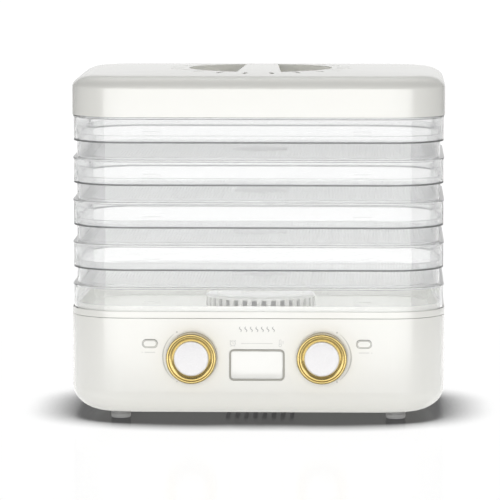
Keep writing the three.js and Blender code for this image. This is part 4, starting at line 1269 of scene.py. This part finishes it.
@dataclass
class ControlPanel:
    """Knobs, buttons, display and the marks printed round them."""

    knob_x: float = 52.0
    knob_z: float = 54.0
    knob_radius: float = 20.0
    cap_radius: float = 13.9
    button_x: float = 85.5
    button_z: float = 64.6
    button_size: Point = (12.0, 6.4)
    display_z: float = 47.6
    bezel_size: Point = (44.0, 24.9)
    bezel_radius: float = 3.6
    border: float = 1.15
    ink: float = 0.06

    def ring_profile(self) -> list[Point]:
        """Outline of a knob's ring: a bead round the front, a groove, and a slope to the cap."""
        r, inner = self.knob_radius, self.cap_radius + 0.3
        bead = [(r - 1.15 + 1.15 * math.cos(t), 13.75 + 1.25 * math.sin(t))
                for t in (math.radians(d) for d in range(165, -1, -15))]
        return [(r - 2.5, 0.2), (r - 2.5, 9.8), (5.3, 9.8), (5.3, 11.6), (inner, 11.6), (inner, 12.6),
                (inner + 0.25, 12.9), (inner + 0.6, 12.8), (inner + 0.8, 12.2), (inner + 1.1, 12.1),
                (r - 3.3, 13.1), (r - 2.7, 13.2), (r - 2.5, 13.1), *bead, (r, 2.2), (r - 0.35, 1.8),
                (r - 0.35, 1.2), (r, 0.8), (r, 0.2), (r - 2.5, 0.2)]

    def cap_profile(self) -> list[Point]:
        """Outline of a knob's cap: a shallow dish with a rounded rim, and the hub behind."""
        r = self.cap_radius
        rim = [(r - 1.1 + 1.1 * math.sin(t), 12.75 + 0.95 * math.cos(t))
               for t in (math.radians(d) for d in range(0, 91, 15))]
        return [(0, 13.35), (4, 13.37), (8, 13.45), (r - 2.2, 13.6), *rim, (r, 11.9), (5, 11.9), (5, 4.2),
                (2.8, 4.2), (2.8, 11.3), (0, 11.3)]

    def knobs(self, palette: Palette) -> None:
        """Builds and dresses both knobs."""
        for name, side in SIDES.items():
            centre = (side * self.knob_x, PLAN.front, self.knob_z)
            ring = smoothed(turned(f"gold_ring_{name}", self.ring_profile(), centre, Axis.FORWARD, 128), 45)
            finish_piece(palette.dress(ring, "gold_ring"), f"knob_{name}", "gold_ring", f"knob_ring_{name}")
            cap = smoothed(turned(f"pearl_cap_{name}", self.cap_profile(), centre, Axis.FORWARD, 96), 45)
            finish_piece(palette.dress(cap, "pearl_plastic"), f"knob_{name}", "pearl_plastic", f"knob_cap_{name}")

    def buttons(self, palette: Palette) -> None:
        """Builds and dresses both buttons and the outlines printed on them."""
        width, height = self.button_size
        for name, side in SIDES.items():
            place = (side * self.button_x, self.button_z)
            button = tablet(f"push_button_{name}", self.button_size, height / 2 - 0.01, place,
                            PLAN.front - 1.3, PLAN.front + 2.9, 12)
            flange = tablet("flange", (width + 3, height + 3), height / 2 + 1.49, place,
                            PLAN.front + 2.9, PLAN.front + 4.1, 12)
            button = softened(joined([button, flange], f"push_button_{name}"), 0.35, 3)
            finish_piece(palette.dress(button, "cream_plastic"), f"button_{name}", "cream_plastic", f"button_{name}")
            face = PLAN.front - 1.3
            mark = self.outline(f"button_mark_{name}", place, (width - 0.9, height - 0.9), 0.55, face)
            finish_piece(palette.dress(mark, "grey_trim"), f"button_{name}", "grey_trim")

    def outline(self, name: str, place: Point, size: Point, line: float, face: float) -> Object:
        """A printed pill outline.

        Args:
            name: the object's name.
            place: x and z of its middle.
            size: its outer width and height.
            line: width of the line.
            face: y of the surface that it is printed on.

        Returns:
            The new object.
        """
        outer = tablet(name, size, size[1] / 2 - 0.01, place, face - self.ink, face + 0.02, 12)
        hole = (size[0] - 2 * line, size[1] - 2 * line)
        return carve(outer, tablet("hole", hole, hole[1] / 2 - 0.01, place, face - 1, face + 1, 12))

    def display(self, palette: Palette) -> None:
        """Builds and dresses the display's frame and window."""
        width, height = self.bezel_size
        place = (0, self.display_z)
        frame = tablet("display_frame", self.bezel_size, self.bezel_radius, place, PLAN.front - 0.4,
                       PLAN.front + 1.2)
        inner = (width - 2 * self.border, height - 2 * self.border)
        hole = tablet("hole", inner, self.bezel_radius - self.border, place, PLAN.front - 2, PLAN.front + 3)
        carve(frame, hole)
        frame = softened(frame, 0.18, 2)
        finish_piece(palette.dress(frame, "grey_trim"), "base", "grey_trim", "display_bezel")
        pane = (inner[0] - 0.6, inner[1] - 0.6)
        lens = tablet("display_pane", pane, self.bezel_radius - self.border, place, PLAN.front,
                      PLAN.front + 1.2)
        lens = softened(lens, 0.15, 2)
        finish_piece(palette.dress(lens, "display_lens"), "base", "display_lens", "display_lens")

    def ribbon(self, name: str, path: Sequence[Point], widths: Sequence[float]) -> Object:
        """A printed line that follows a path on the panel and may change in width.

        Args:
            name: the object's name.
            path: (x, z) points of its middle line.
            widths: its width at each point.

        Returns:
            The new object.
        """
        deselect()
        bpy.ops.mesh.primitive_grid_add(x_subdivisions=len(path) - 1, y_subdivisions=1, size=MM)
        piece = settled(name)
        order = sorted(piece.data.vertices, key=lambda vert: (round(vert.co.x / MM, 4), vert.co.y))
        for i, (x, z) in enumerate(path):
            before, after = Vector(path[max(i - 1, 0)]), Vector(path[min(i + 1, len(path) - 1)])
            run = (after - before).normalized()
            for vert, side in zip(order[2 * i:2 * i + 2], (-1, 1)):
                off = Vector((-run.y, run.x)) * side * widths[i] / 2
                vert.co = Vector((x + off.x, PLAN.front - self.ink, z + off.y)) * MM
        edit(piece)
        push(0, self.ink + 0.02, 0)
        outward()
        done()
        return piece

    def arc(self, name: str, centre: Point, radius: float, start: float, end: float, widths: Point) -> Object:
        """A printed arc that is widest in its middle.

        Args:
            name: the object's name.
            centre: x and z of its centre.
            radius: of its middle line.
            start: where it starts, in degrees from +X towards +Z.
            end: where it ends.
            widths: its width at the ends and in the middle.

        Returns:
            The new object.
        """
        count = 28
        path, sizes = [], []
        for i in range(count + 1):
            angle = math.radians(start + (end - start) * i / count)
            path.append((centre[0] + radius * math.cos(angle), centre[1] + radius * math.sin(angle)))
            sizes.append(widths[0] + (widths[1] - widths[0]) * math.sin(math.pi * i / count))
        return self.ribbon(name, path, sizes)

    def dot(self, name: str, x: float, z: float, radius: float) -> Object:
        """A printed round dot."""
        return rod(name, radius, -0.02, self.ink, (x, PLAN.front, z), Axis.FORWARD, 20)

    def hoop(self, name: str, x: float, z: float, radius: float, line: float) -> Object:
        """A printed circle."""
        profile = [(radius - line, -0.02), (radius, -0.02), (radius, self.ink), (radius - line, self.ink),
                   (radius - line, -0.02)]
        return turned(name, profile, (x, PLAN.front, z), Axis.FORWARD, 40)

    def scale_marks(self) -> list[Object]:
        """The tapered scale beside each knob, with a dot at its ends."""
        marks = []
        for side in SIDES.values():
            x, z = side * self.knob_x, self.knob_z
            start, end = (128, 232) if side < 0 else (-52, 52)
            marks.append(self.arc("scale", (x, z), 23.2, start, end, (0.25, 1.1)))
            left, right = ((start - 7, 0.75), (end + 7, 0.55)), ((end + 7, 0.75), (start - 7, 0.75))
            for turn, size in left if side < 0 else right:
                angle = math.radians(turn)
                marks.append(self.dot("dot", x + 23.2 * math.cos(angle), z + 23.2 * math.sin(angle), size))
        return marks

    def clock_marks(self) -> list[Object]:
        """A clock, a thin line and a thermometer above the display."""
        z = 65.0
        marks = [self.hoop("clock", -19.2, z, 2.2, 0.42)]
        marks.append(self.ribbon("hands", [(-19.2, z + 1.3), (-19.2, z), (-18.2, z - 0.5)], [0.32] * 3))
        for side in SIDES.values():
            leg = [(-19.2 + side * 1.3, z - 2.0), (-19.2 + side * 1.9, z - 2.6)]
            marks.append(self.ribbon("leg", leg, [0.36] * 2))
            bell = [(-19.2 + side * 2.5, z + 1.6), (-19.2 + side * 1.6, z + 2.5)]
            marks.append(self.ribbon("bell", bell, [0.5] * 2))
        marks.append(self.ribbon("line", [(-12.6, z), (12.6, z)], [0.34] * 2))
        marks.append(self.hoop("bulb", 18.6, z - 1.5, 1.25, 0.4))
        for side in SIDES.values():
            tube = [(18.6 + side * 0.72, z - 0.6), (18.6 + side * 0.72, z + 2.2)]
            marks.append(self.ribbon("tube", tube, [0.34] * 2))
        marks.append(self.arc("tip", (18.6, z + 2.2), 0.72, 0, 180, (0.34, 0.34)))
        for i in range(3):
            tick = [(20.3, z - 0.2 + i * 0.95), (21.4, z - 0.2 + i * 0.95)]
            marks.append(self.ribbon("tick", tick, [0.28] * 2))
        return marks

    def emblem_marks(self) -> list[Object]:
        """Seven curls of warm air in a row, in the middle over the display."""
        z, marks = 76.3, []
        for i in range(-3, 4):
            path = [(i * 4.4 + 0.85 * math.sin(TURN * t / 12), z - 2.1 + 4.2 * t / 12) for t in range(13)]
            widths = [0.3 + 0.38 * math.sin(math.pi * t / 12) for t in range(13)]
            marks.append(self.ribbon("curl", path, widths))
        return marks

    def prints(self, palette: Palette) -> None:
        """Builds and dresses everything that is printed on the panel."""
        groups = {
            "scale_marks": (self.scale_marks(), "pale_ink"),
            "symbol_marks": (self.clock_marks(), "pale_ink"),
            "emblem_marks": (self.emblem_marks(), "panel_ink"),
        }
        for name, (marks, ink) in groups.items():
            print_ = joined(marks, name)
            finish_piece(palette.dress(print_, ink), "base", "grey_trim")
        for name, side in SIDES.items():
            x = side * self.button_x
            line = self.ribbon(f"button_caption_{name}", [(x - 4.2, 57.6), (x + 4.2, 57.6)], [0.5] * 2)
            dots = [self.dot("dot", x + side * 6.2, 57.6, 0.4)]
            finish_piece(palette.dress(joined([line, *dots], line.name), "pale_ink"), "base", "grey_trim")

    def build(self, palette: Palette) -> None:
        """Builds and dresses the whole panel."""
        self.knobs(palette)
        self.buttons(palette)
        self.display(palette)
        self.prints(palette)


# ---- Trays and lid -----------------------------------------------------------------------------


@dataclass
class Trays:
    """Five clear trays: a skirt with a lip, a neck inside the skirt above, and a mesh floor."""

    count: int = 5
    lowest: float = 88.6
    pitch: float = 34.0
    inset: float = 1.2
    wall: float = 2.0
    skirt: float = 20.6
    lip: Point = (0.6, 1.3)
    foot: float = 1.4
    neck_inset: float = 2.7
    neck_high: float = 40.0
    ledge: float = 3.5
    ledge_thick: float = 1.6
    stop_size: Point = (14.0, 3.0)
    mesh_pitch: float = 5.2
    mesh_rib: float = 1.1
    mesh_border: float = 7.0
    mesh_thick: float = 1.1
    hub: float = 21.0

    def frame(self, name: str) -> Object:
        """One tray's frame, standing where the lowest tray stands."""
        z = self.lowest
        top, neck = z + self.skirt, self.inset + self.neck_inset
        reach, lip_high = self.lip
        frame = PLAN.block(name, self.inset, z, z + self.foot)
        edit(frame)
        choose_cap(Cap.TOP)
        climb([(0, self.skirt - self.foot - lip_high - reach / 2), (0, reach)])
        spread(reach, reach, PLAN, PLAN.half(self.inset))
        climb([(0, lip_high - reach / 2), (neck - self.inset + reach, 0), (0, self.neck_high - self.skirt)])
        outward()
        done()
        ceiling = top - self.ledge_thick
        under = PLAN.block("under", self.inset + self.wall, z - 1, ceiling)
        over = PLAN.block("over", neck + self.wall, top, z + self.neck_high + 1)
        hole = PLAN.block("hole", neck + self.wall + self.ledge, z + 1, top + 9)
        carve(frame, under, over, hole, crossing=True)
        softened(frame, 0.3, 2)
        return combine(frame, self.stops(z), "UNION")

    def stops(self, z: float) -> list[Object]:
        """Blocks inside the skirt that rest on the neck of the tray below."""
        length, tall = self.stop_size
        low = z + self.neck_high - self.pitch + 0.3
        reach, thick = self.neck_inset + self.wall, self.neck_inset + self.wall / 2
        stops = []
        for sx in SIDES.values():
            for sy in SIDES.values():
                y = PLAN.middle + sy * (PLAN.depth / 2 - self.inset - reach + thick / 2)
                stops.append(bar("stop", (length, thick, tall), (sx * 0.28 * PLAN.width, y, low + tall / 2)))
                x = sx * (PLAN.width / 2 - self.inset - reach + thick / 2)
                y = PLAN.middle + sy * 0.28 * PLAN.depth
                stops.append(bar("stop", (thick, length, tall), (x, y, low + tall / 2)))
        return stops

    def mesh_floor(self, name: str) -> Object:
        """One mesh floor: a plate with six-sided holes, a plain border and a solid hub."""
        edge = self.inset + self.neck_inset + self.wall + 0.4
        low = self.lowest + self.skirt + 0.3
        plate = PLAN.block(name, edge, low, low + self.mesh_thick)
        half = PLAN.half(edge + self.mesh_border)
        row = self.mesh_pitch * math.sqrt(3) / 2
        counts = (int(half[0] / self.mesh_pitch), int(half[1] / (2 * row)))
        deselect()
        starts = []
        for dx, dy in ((0.0, 0.0), (self.mesh_pitch / 2, row)):
            place = Vector((dx - counts[0] * self.mesh_pitch, PLAN.middle + dy - counts[1] * 2 * row, low - 1)) * MM
            radius = (self.mesh_pitch - self.mesh_rib) / math.sqrt(3) * MM
            bpy.ops.mesh.primitive_circle_add(vertices=6, radius=radius, fill_type="NGON", location=place)
            starts.append(settled("hole"))
        holes = joined(starts, "holes")
        for count, step in ((2 * counts[0] + 1, (self.mesh_pitch, 0, 0)), (2 * counts[1] + 1, (0, 2 * row, 0))):
            modified(holes, "ARRAY", count=count, use_relative_offset=False, use_constant_offset=True,
                     constant_offset_displace=Vector(step) * MM)
        edit(holes)
        corner = (PLAN.corner - edge - self.mesh_border) * MM
        arc = [side * MM - corner for side in half]

        def spare(face: bmesh.types.BMFace) -> bool:
            """Whether a cell lies under the hub or past the rounded corner."""
            for vert in face.verts:
                x, y = abs(vert.co.x), abs(vert.co.y - PLAN.middle * MM)
                if math.hypot(x, y) < self.hub * MM or x > half[0] * MM or y > half[1] * MM:
                    return True
                if x > arc[0] and y > arc[1] and math.hypot(x - arc[0], y - arc[1]) > corner:
                    return True
            return False

        choose(spare)
        bpy.ops.mesh.delete(type="FACE")
        bpy.ops.mesh.select_all(action="SELECT")
        push(0, 0, self.mesh_thick + 2)
        outward()
        done()
        return smoothed(carve(plate, holes))

    def paint_foot_shadow(self, frame: Object) -> None:
        """Gives the skirt's foot the second finish, a dark cloudy clear plastic that paints the shadow in the gap under
        the skirt.

        Args:
            frame: a tray's frame where the lowest tray stands, with two finishes.
        """
        foot = (self.lowest + self.foot) * MM
        for face in frame.data.polygons:
            # Faces below the foot line take the painted shadow.
            face.material_index = 1 if face.center.z < foot else 0

    def build(self, palette: Palette) -> None:
        """Builds and dresses the trays."""
        lowest = self.count
        frame = palette.dress(self.frame(f"clear_tray_{lowest}"), "clear_plastic", "clear_foot_shadow")
        # The skirt's foot gets the painted shadow of the gap under it.
        self.paint_foot_shadow(frame)
        smoothed(frame)
        floor = palette.dress(self.mesh_floor(f"mesh_floor_{lowest}"), "clear_mesh")
        for number in range(lowest, 0, -1):
            rise = (0, 0, (lowest - number) * self.pitch)
            this = frame if number == lowest else copied(frame, f"clear_tray_{number}", rise)
            grid = floor if number == lowest else copied(floor, f"mesh_floor_{number}", rise)
            finish_piece(this, f"tray_{number}", "clear_plastic", f"tray_{number}")
            finish_piece(grid, f"tray_{number}", "clear_plastic", f"tray_{number}_mesh")


@dataclass
class Lid:
    """Lid with rounded edges, a slight crown, two half-moon finger wells and rows of vents."""

    low: float = 245.5
    side: float = 21.9
    round_width: float = 18.0
    round_height: float = 10.3
    crown: float = 1.6
    wall: float = 2.5
    well_radius: float = 58.5
    well_depth: float = 13.2
    bar_front: float = 36.0
    bar_back: float = 25.0
    vents: int = 20
    vent_size: Point = (3.2, 12.0)
    vent_clear: float = 4.0

    @property
    def top(self) -> float:
        """Height of the lid's highest point."""
        return self.low + self.side + self.round_height + self.crown

    def outside(self) -> Object:
        """The solid outer form."""
        lid = PLAN.block("vented_lid", 0, self.low, self.low + self.side)
        edit(lid)
        choose_cap(Cap.TOP)
        climb([(inset, rise) for inset, rise in quarter(self.round_width, self.round_height, 12, True)])
        half = PLAN.half(self.round_width)
        shares = [0.0, 0.08, 0.17, 0.27, 0.38, 0.5, 0.62]
        for before, after in zip(shares, shares[1:]):
            rise = self.crown * (math.sin(math.pi / 2 * after / 0.62) - math.sin(math.pi / 2 * before / 0.62))
            push(0, 0, rise)
            now = [side * (1 - before) for side in half]
            spread(-half[0] * (after - before), -half[1] * (after - before), PLAN, now)
        outward()
        done()
        return lid

    def hollow(self) -> Object:
        """The cavity under the lid, which leaves the drum of the finger wells standing."""
        hollow = PLAN.block("hollow", self.wall, self.low - 1, self.low + self.side, 8)
        edit(hollow)
        choose_cap(Cap.TOP)
        climb(quarter(self.round_width - self.wall / 2, self.round_height - self.wall, 5, True))
        outward()
        done()
        drum_low = self.top - self.well_depth - self.wall
        drum = rod("drum", self.well_radius + self.wall, drum_low, self.top + 5, (0, PLAN.middle, 0), steps=96)
        return carve(hollow, drum)

    def grip(self, inset: float, low: float, high: float) -> Object:
        """A prism the shape of the grip bar, wider at the front.

        Args:
            inset: how much narrower it is on each side.
            low: height of its bottom.
            high: height of its top.

        Returns:
            The new object.
        """
        reach = 2 * (self.well_radius + 4)
        place = (0, PLAN.middle, (low + high) / 2)
        prism = bar("grip", (1, reach, high - low), place)
        for vert in prism.data.vertices:
            width = self.bar_front if vert.co.y < PLAN.middle * MM else self.bar_back
            vert.co.x = math.copysign((width / 2 - inset) * MM, vert.co.x)
        return prism

    def wells(self) -> Object:
        """The two half-moon wells as one cutter, with a rounded bottom."""
        floor, r = self.top - self.well_depth, self.well_radius
        profile = [(0, floor), (r - 4, floor), (r - 2.2, floor + 0.5), (r - 0.8, floor + 1.8), (r, floor + 4),
                   (r, self.top + 1), (0, self.top + 1)]
        wells = turned("wells", profile, (0, PLAN.middle, 0), steps=128)
        return carve(wells, self.grip(0, floor - 5, self.top + 5))

    def vent_cutters(self) -> list[Object]:
        """Tools for the ring of vents round the wells and the slots in the wells' floors."""
        floor, tools = self.top - self.well_depth, []
        width, length = self.vent_size
        reach = self.well_radius + self.vent_clear + length / 2
        for i in range(self.vents):
            angle = TURN * (i + 0.5) / self.vents
            place = (reach * math.cos(angle), PLAN.middle + reach * math.sin(angle), self.top - 2)
            tools.append(bar("vent", (length, width, 12), place, angle, width / 2 - 0.05))
        for side in SIDES.values():
            for i in range(3):
                x = side * (self.bar_front / 2 + 7 + i * 9)
                size = (3.6, 46 - 8 * i, 8)
                tools.append(bar("well_vent", size, (x, PLAN.middle, floor - 1), round_by=1.75))
        return tools

    def build(self, palette: Palette) -> None:
        """Builds and dresses the lid."""
        lid = carve(self.outside(), self.hollow())
        floor = self.top - self.well_depth
        carve(lid, self.wells())
        under = self.grip(self.wall, floor - self.wall - 1, self.top - self.wall - 0.3)
        round_ = rod("round", self.well_radius, 0, self.top + 2, (0, PLAN.middle, 0), steps=96)
        combine(under, [round_], "INTERSECT")
        carve(lid, under)
        carve(lid, *self.vent_cutters())
        lid = softened(lid, 0.6, 3, 42)
        finish_piece(palette.dress(lid, "cream_plastic"), "lid", "cream_plastic", "lid")


# ---- Inside ------------------------------------------------------------------------------------


class Inside:
    """Carried-over CAD nodes, which keep their shapes and get better finishes."""

    FINISHES = {
        "steel": ["motor_bracket", "fan_motor", "impeller_cap"],
        "turned_steel": ["deck_screw_", "motor_screw_", "board_screw_", "knob_shaft_", "motor_shaft"],
        "circuit_board": ["control_board", "power_board"],
        "black_plastic": ["display_module", "encoder_", "tact_switch_", "fan_impeller", "thermal_cutout",
                          "temperature_sensor", "heater_relay", "smoothing_capacitor"],
        "white_plastic": ["air_duct"],
        "mica": ["heater_frame"],
        "nichrome": ["heater_coil_"],
    }

    def build(self, palette: Palette, nodes: dict[str, Object]) -> None:
        """Repaints the nodes.

        Args:
            palette: the finishes.
            nodes: the CAD nodes by name.
        """
        for finish, starts in self.FINISHES.items():
            for name, node in nodes.items():
                if any(name.startswith(start) for start in starts):
                    palette.repaint(node, finish)
                    log.info("%s: %s", name, finish)


# ---- Studio ------------------------------------------------------------------------------------


@dataclass
class Studio:
    """Floor, lamps, background and camera."""

    distance: float = 3.5
    turn: float = 1.6
    height: float = 0.474
    lens: float = 308.8
    target: Point = (-0.0055, 0.1399)
    fade: Point = (0.5, 1.5)
    glow: float = 0.28
    contact: float = 0.07
    shade: Point = (0.46, 0.84)
    darkest: float = 0.06
    polish: float = 0.14
    white: float = 1.03
    gloss: float = 0.1
    ambient: float = 0.3

    def floor(self) -> None:
        """A white floor with a painted contact shadow, drawn into its glow from ambient occlusion, and a faint gloss,
        which fades into the white round it.
        """
        deselect()
        bpy.ops.mesh.primitive_circle_add(vertices=96, radius=self.fade[1], fill_type="NGON")
        floor = settled("floor")
        material = bpy.data.materials.new("studio_floor")
        material.use_nodes = True
        wiring = Wiring(material.node_tree)
        shader = material.node_tree.nodes["Principled BSDF"]
        here = wiring.here()
        tone = wiring.blend(wiring.noise(here, 3.0, 2, 0.5), (0.86, 0.86, 0.86, 1), (0.9, 0.9, 0.9, 1))
        wiring.feed(shader.inputs["Base Color"], tone)
        wiring.feed(shader.inputs["Emission Color"], tone)
        shader.inputs["Emission Strength"].default_value = self.glow
        shader.inputs["Roughness"].default_value = 0.9
        shader.inputs["Specular IOR Level"].default_value = 0.0
        # Painted contact shadow: ambient occlusion near the object darkens the glow that the camera sees.
        near = wiring.node("AmbientOcclusion", {"Distance": self.contact})
        near.samples = 24
        painted_shadow_glow = wiring.node("Emission", {0: (1, 1, 1, 1)})
        wiring.feed(painted_shadow_glow.inputs["Strength"], wiring.span(near.outputs["AO"], *self.shade, self.darkest, self.white))
        mirror = wiring.node("BsdfGlossy", {"Color": (1, 1, 1, 1), "Roughness": self.polish})
        glossy = wiring.node("MixShader", {0: self.gloss, 1: painted_shadow_glow.outputs[0], 2: mirror.outputs[0]})
        path = wiring.node("LightPath")
        seen = wiring.node("MixShader", {0: path.outputs["Is Camera Ray"], 1: shader.outputs[0],
                                         2: glossy.outputs[0]})
        distance = wiring.node("VectorMath", {0: here}, operation="LENGTH").outputs["Value"]
        gone = wiring.span(distance, self.fade[0], self.fade[1], 0.0, 1.0)
        clear = wiring.node("BsdfTransparent", {0: (1, 1, 1, 1)})
        whole = wiring.node("MixShader", {0: gone, 1: seen.outputs[0], 2: clear.outputs[0]})
        output = next(node for node in material.node_tree.nodes if node.type == "OUTPUT_MATERIAL")
        wiring.feed(output.inputs[0], whole.outputs[0])
        floor.data.materials.append(material)

    def lamp(self, name: str, place: Sequence[float], aim: Sequence[float], size: Point, radiance: float,
             card: bool = False) -> None:
        """Hangs a softbox.

        Args:
            name: the lamp's name.
            place: where it hangs, in metres.
            aim: the point that it faces.
            size: its width and height, in metres.
            radiance: how bright its face is, against 1 for white.
            card: whether it only shows in gloss, and throws no light of its own.
        """
        data = bpy.data.lights.new(name, "AREA")
        data.shape, data.size, data.size_y = "RECTANGLE", size[0], size[1]
        data.energy = radiance * math.pi * size[0] * size[1]
        lamp = bpy.data.objects.new(name, data)
        bpy.context.scene.collection.objects.link(lamp)
        lamp.location = place
        lamp.rotation_euler = (Vector(aim) - Vector(place)).to_track_quat("-Z", "Y").to_euler()
        lamp.visible_camera = lamp.visible_transmission = False
        lamp.visible_diffuse, lamp.visible_glossy = not card, card

    def world(self) -> None:
        """White behind the object, and a dimmer even light from everywhere else."""
        world = bpy.data.worlds.new("studio")
        bpy.context.scene.world = world
        world.use_nodes = True
        wiring = Wiring(world.node_tree)
        path = wiring.node("LightPath")
        seen = wiring.maths("MAXIMUM", path.outputs["Is Camera Ray"], path.outputs["Is Transmission Ray"])
        strength = wiring.span(seen, 0, 1, self.ambient, 1.05)
        back = world.node_tree.nodes["Background"]
        wiring.feed(back.inputs[0], (1, 1, 1, 1))
        wiring.feed(back.inputs[1], strength)

    def camera(self) -> None:
        """The camera, at the viewing angle of the front."""
        data = bpy.data.cameras.new("camera")
        data.lens, data.sensor_width, data.clip_end = self.lens, 36.0, 100.0
        camera = bpy.data.objects.new("camera", data)
        bpy.context.scene.collection.objects.link(camera)
        angle = math.radians(self.turn)
        camera.location = (self.distance * math.sin(angle), -self.distance * math.cos(angle), self.height)
        aim = Vector((self.target[0], PLAN.front * MM, self.target[1]))
        camera.rotation_euler = (aim - camera.location).to_track_quat("-Z", "Y").to_euler()
        bpy.context.scene.camera = camera

    def build(self) -> None:
        """Sets up the whole studio."""
        self.floor()
        self.world()
        self.lamp("front", (0, -1.3, 0.24), (0, 0, 0.06), (0.7, 0.4), 7.0)
        self.lamp("card", (0, -0.42, 0.17), (0, 0, 0.17), (1.0, 0.36), 2.4, card=True)
        self.lamp("back", (0, 1.0, 1.5), (0, 0, 0.2), (1.4, 0.9), 6.5)
        self.lamp("back_card", (0, 1.6, 0.4), (0, 0, 0.3), (1.8, 0.7), 0.5, card=True)
        for side in SIDES.values():
            self.lamp("rim", (side * 1.5, 0.9, 0.35), (0, 0, 0.14), (0.8, 0.9), 2.0)
        self.camera()
        bpy.context.scene.view_settings.view_transform = "Standard"


# ---- Whole -------------------------------------------------------------------------------------


def finish_piece(piece: Object, body: str, slot: str, *nodes: str) -> None:
    """Fixes a finished piece to its body, hides the CAD nodes that it replaces and logs its size.

    Args:
        piece: the object.
        body: the CAD body that it moves with.
        slot: not used.
        nodes: the CAD nodes that it replaces.
    """
    deselect()
    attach(piece, body)
    if nodes:
        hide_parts(*nodes)
    log.info("%s: %d faces, on %s", piece.name, len(piece.data.polygons), body)


def main() -> None:
    """Builds the looks of the whole dehydrator and its studio."""
    logging.basicConfig(level=logging.INFO, format="%(name)s %(message)s")
    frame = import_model()
    palette = Palette()
    Studio().build()
    panel = ControlPanel()
    Housing().build(palette, panel)
    Feet().build(palette)
    Deck().build(palette)
    OutletGrille().build(palette)
    Gland().build(palette)
    panel.build(palette)
    Trays().build(palette)
    Lid().build(palette)
    Inside().build(palette, frame["nodes"])
    deselect()


if __name__ == "__main__":
    main()
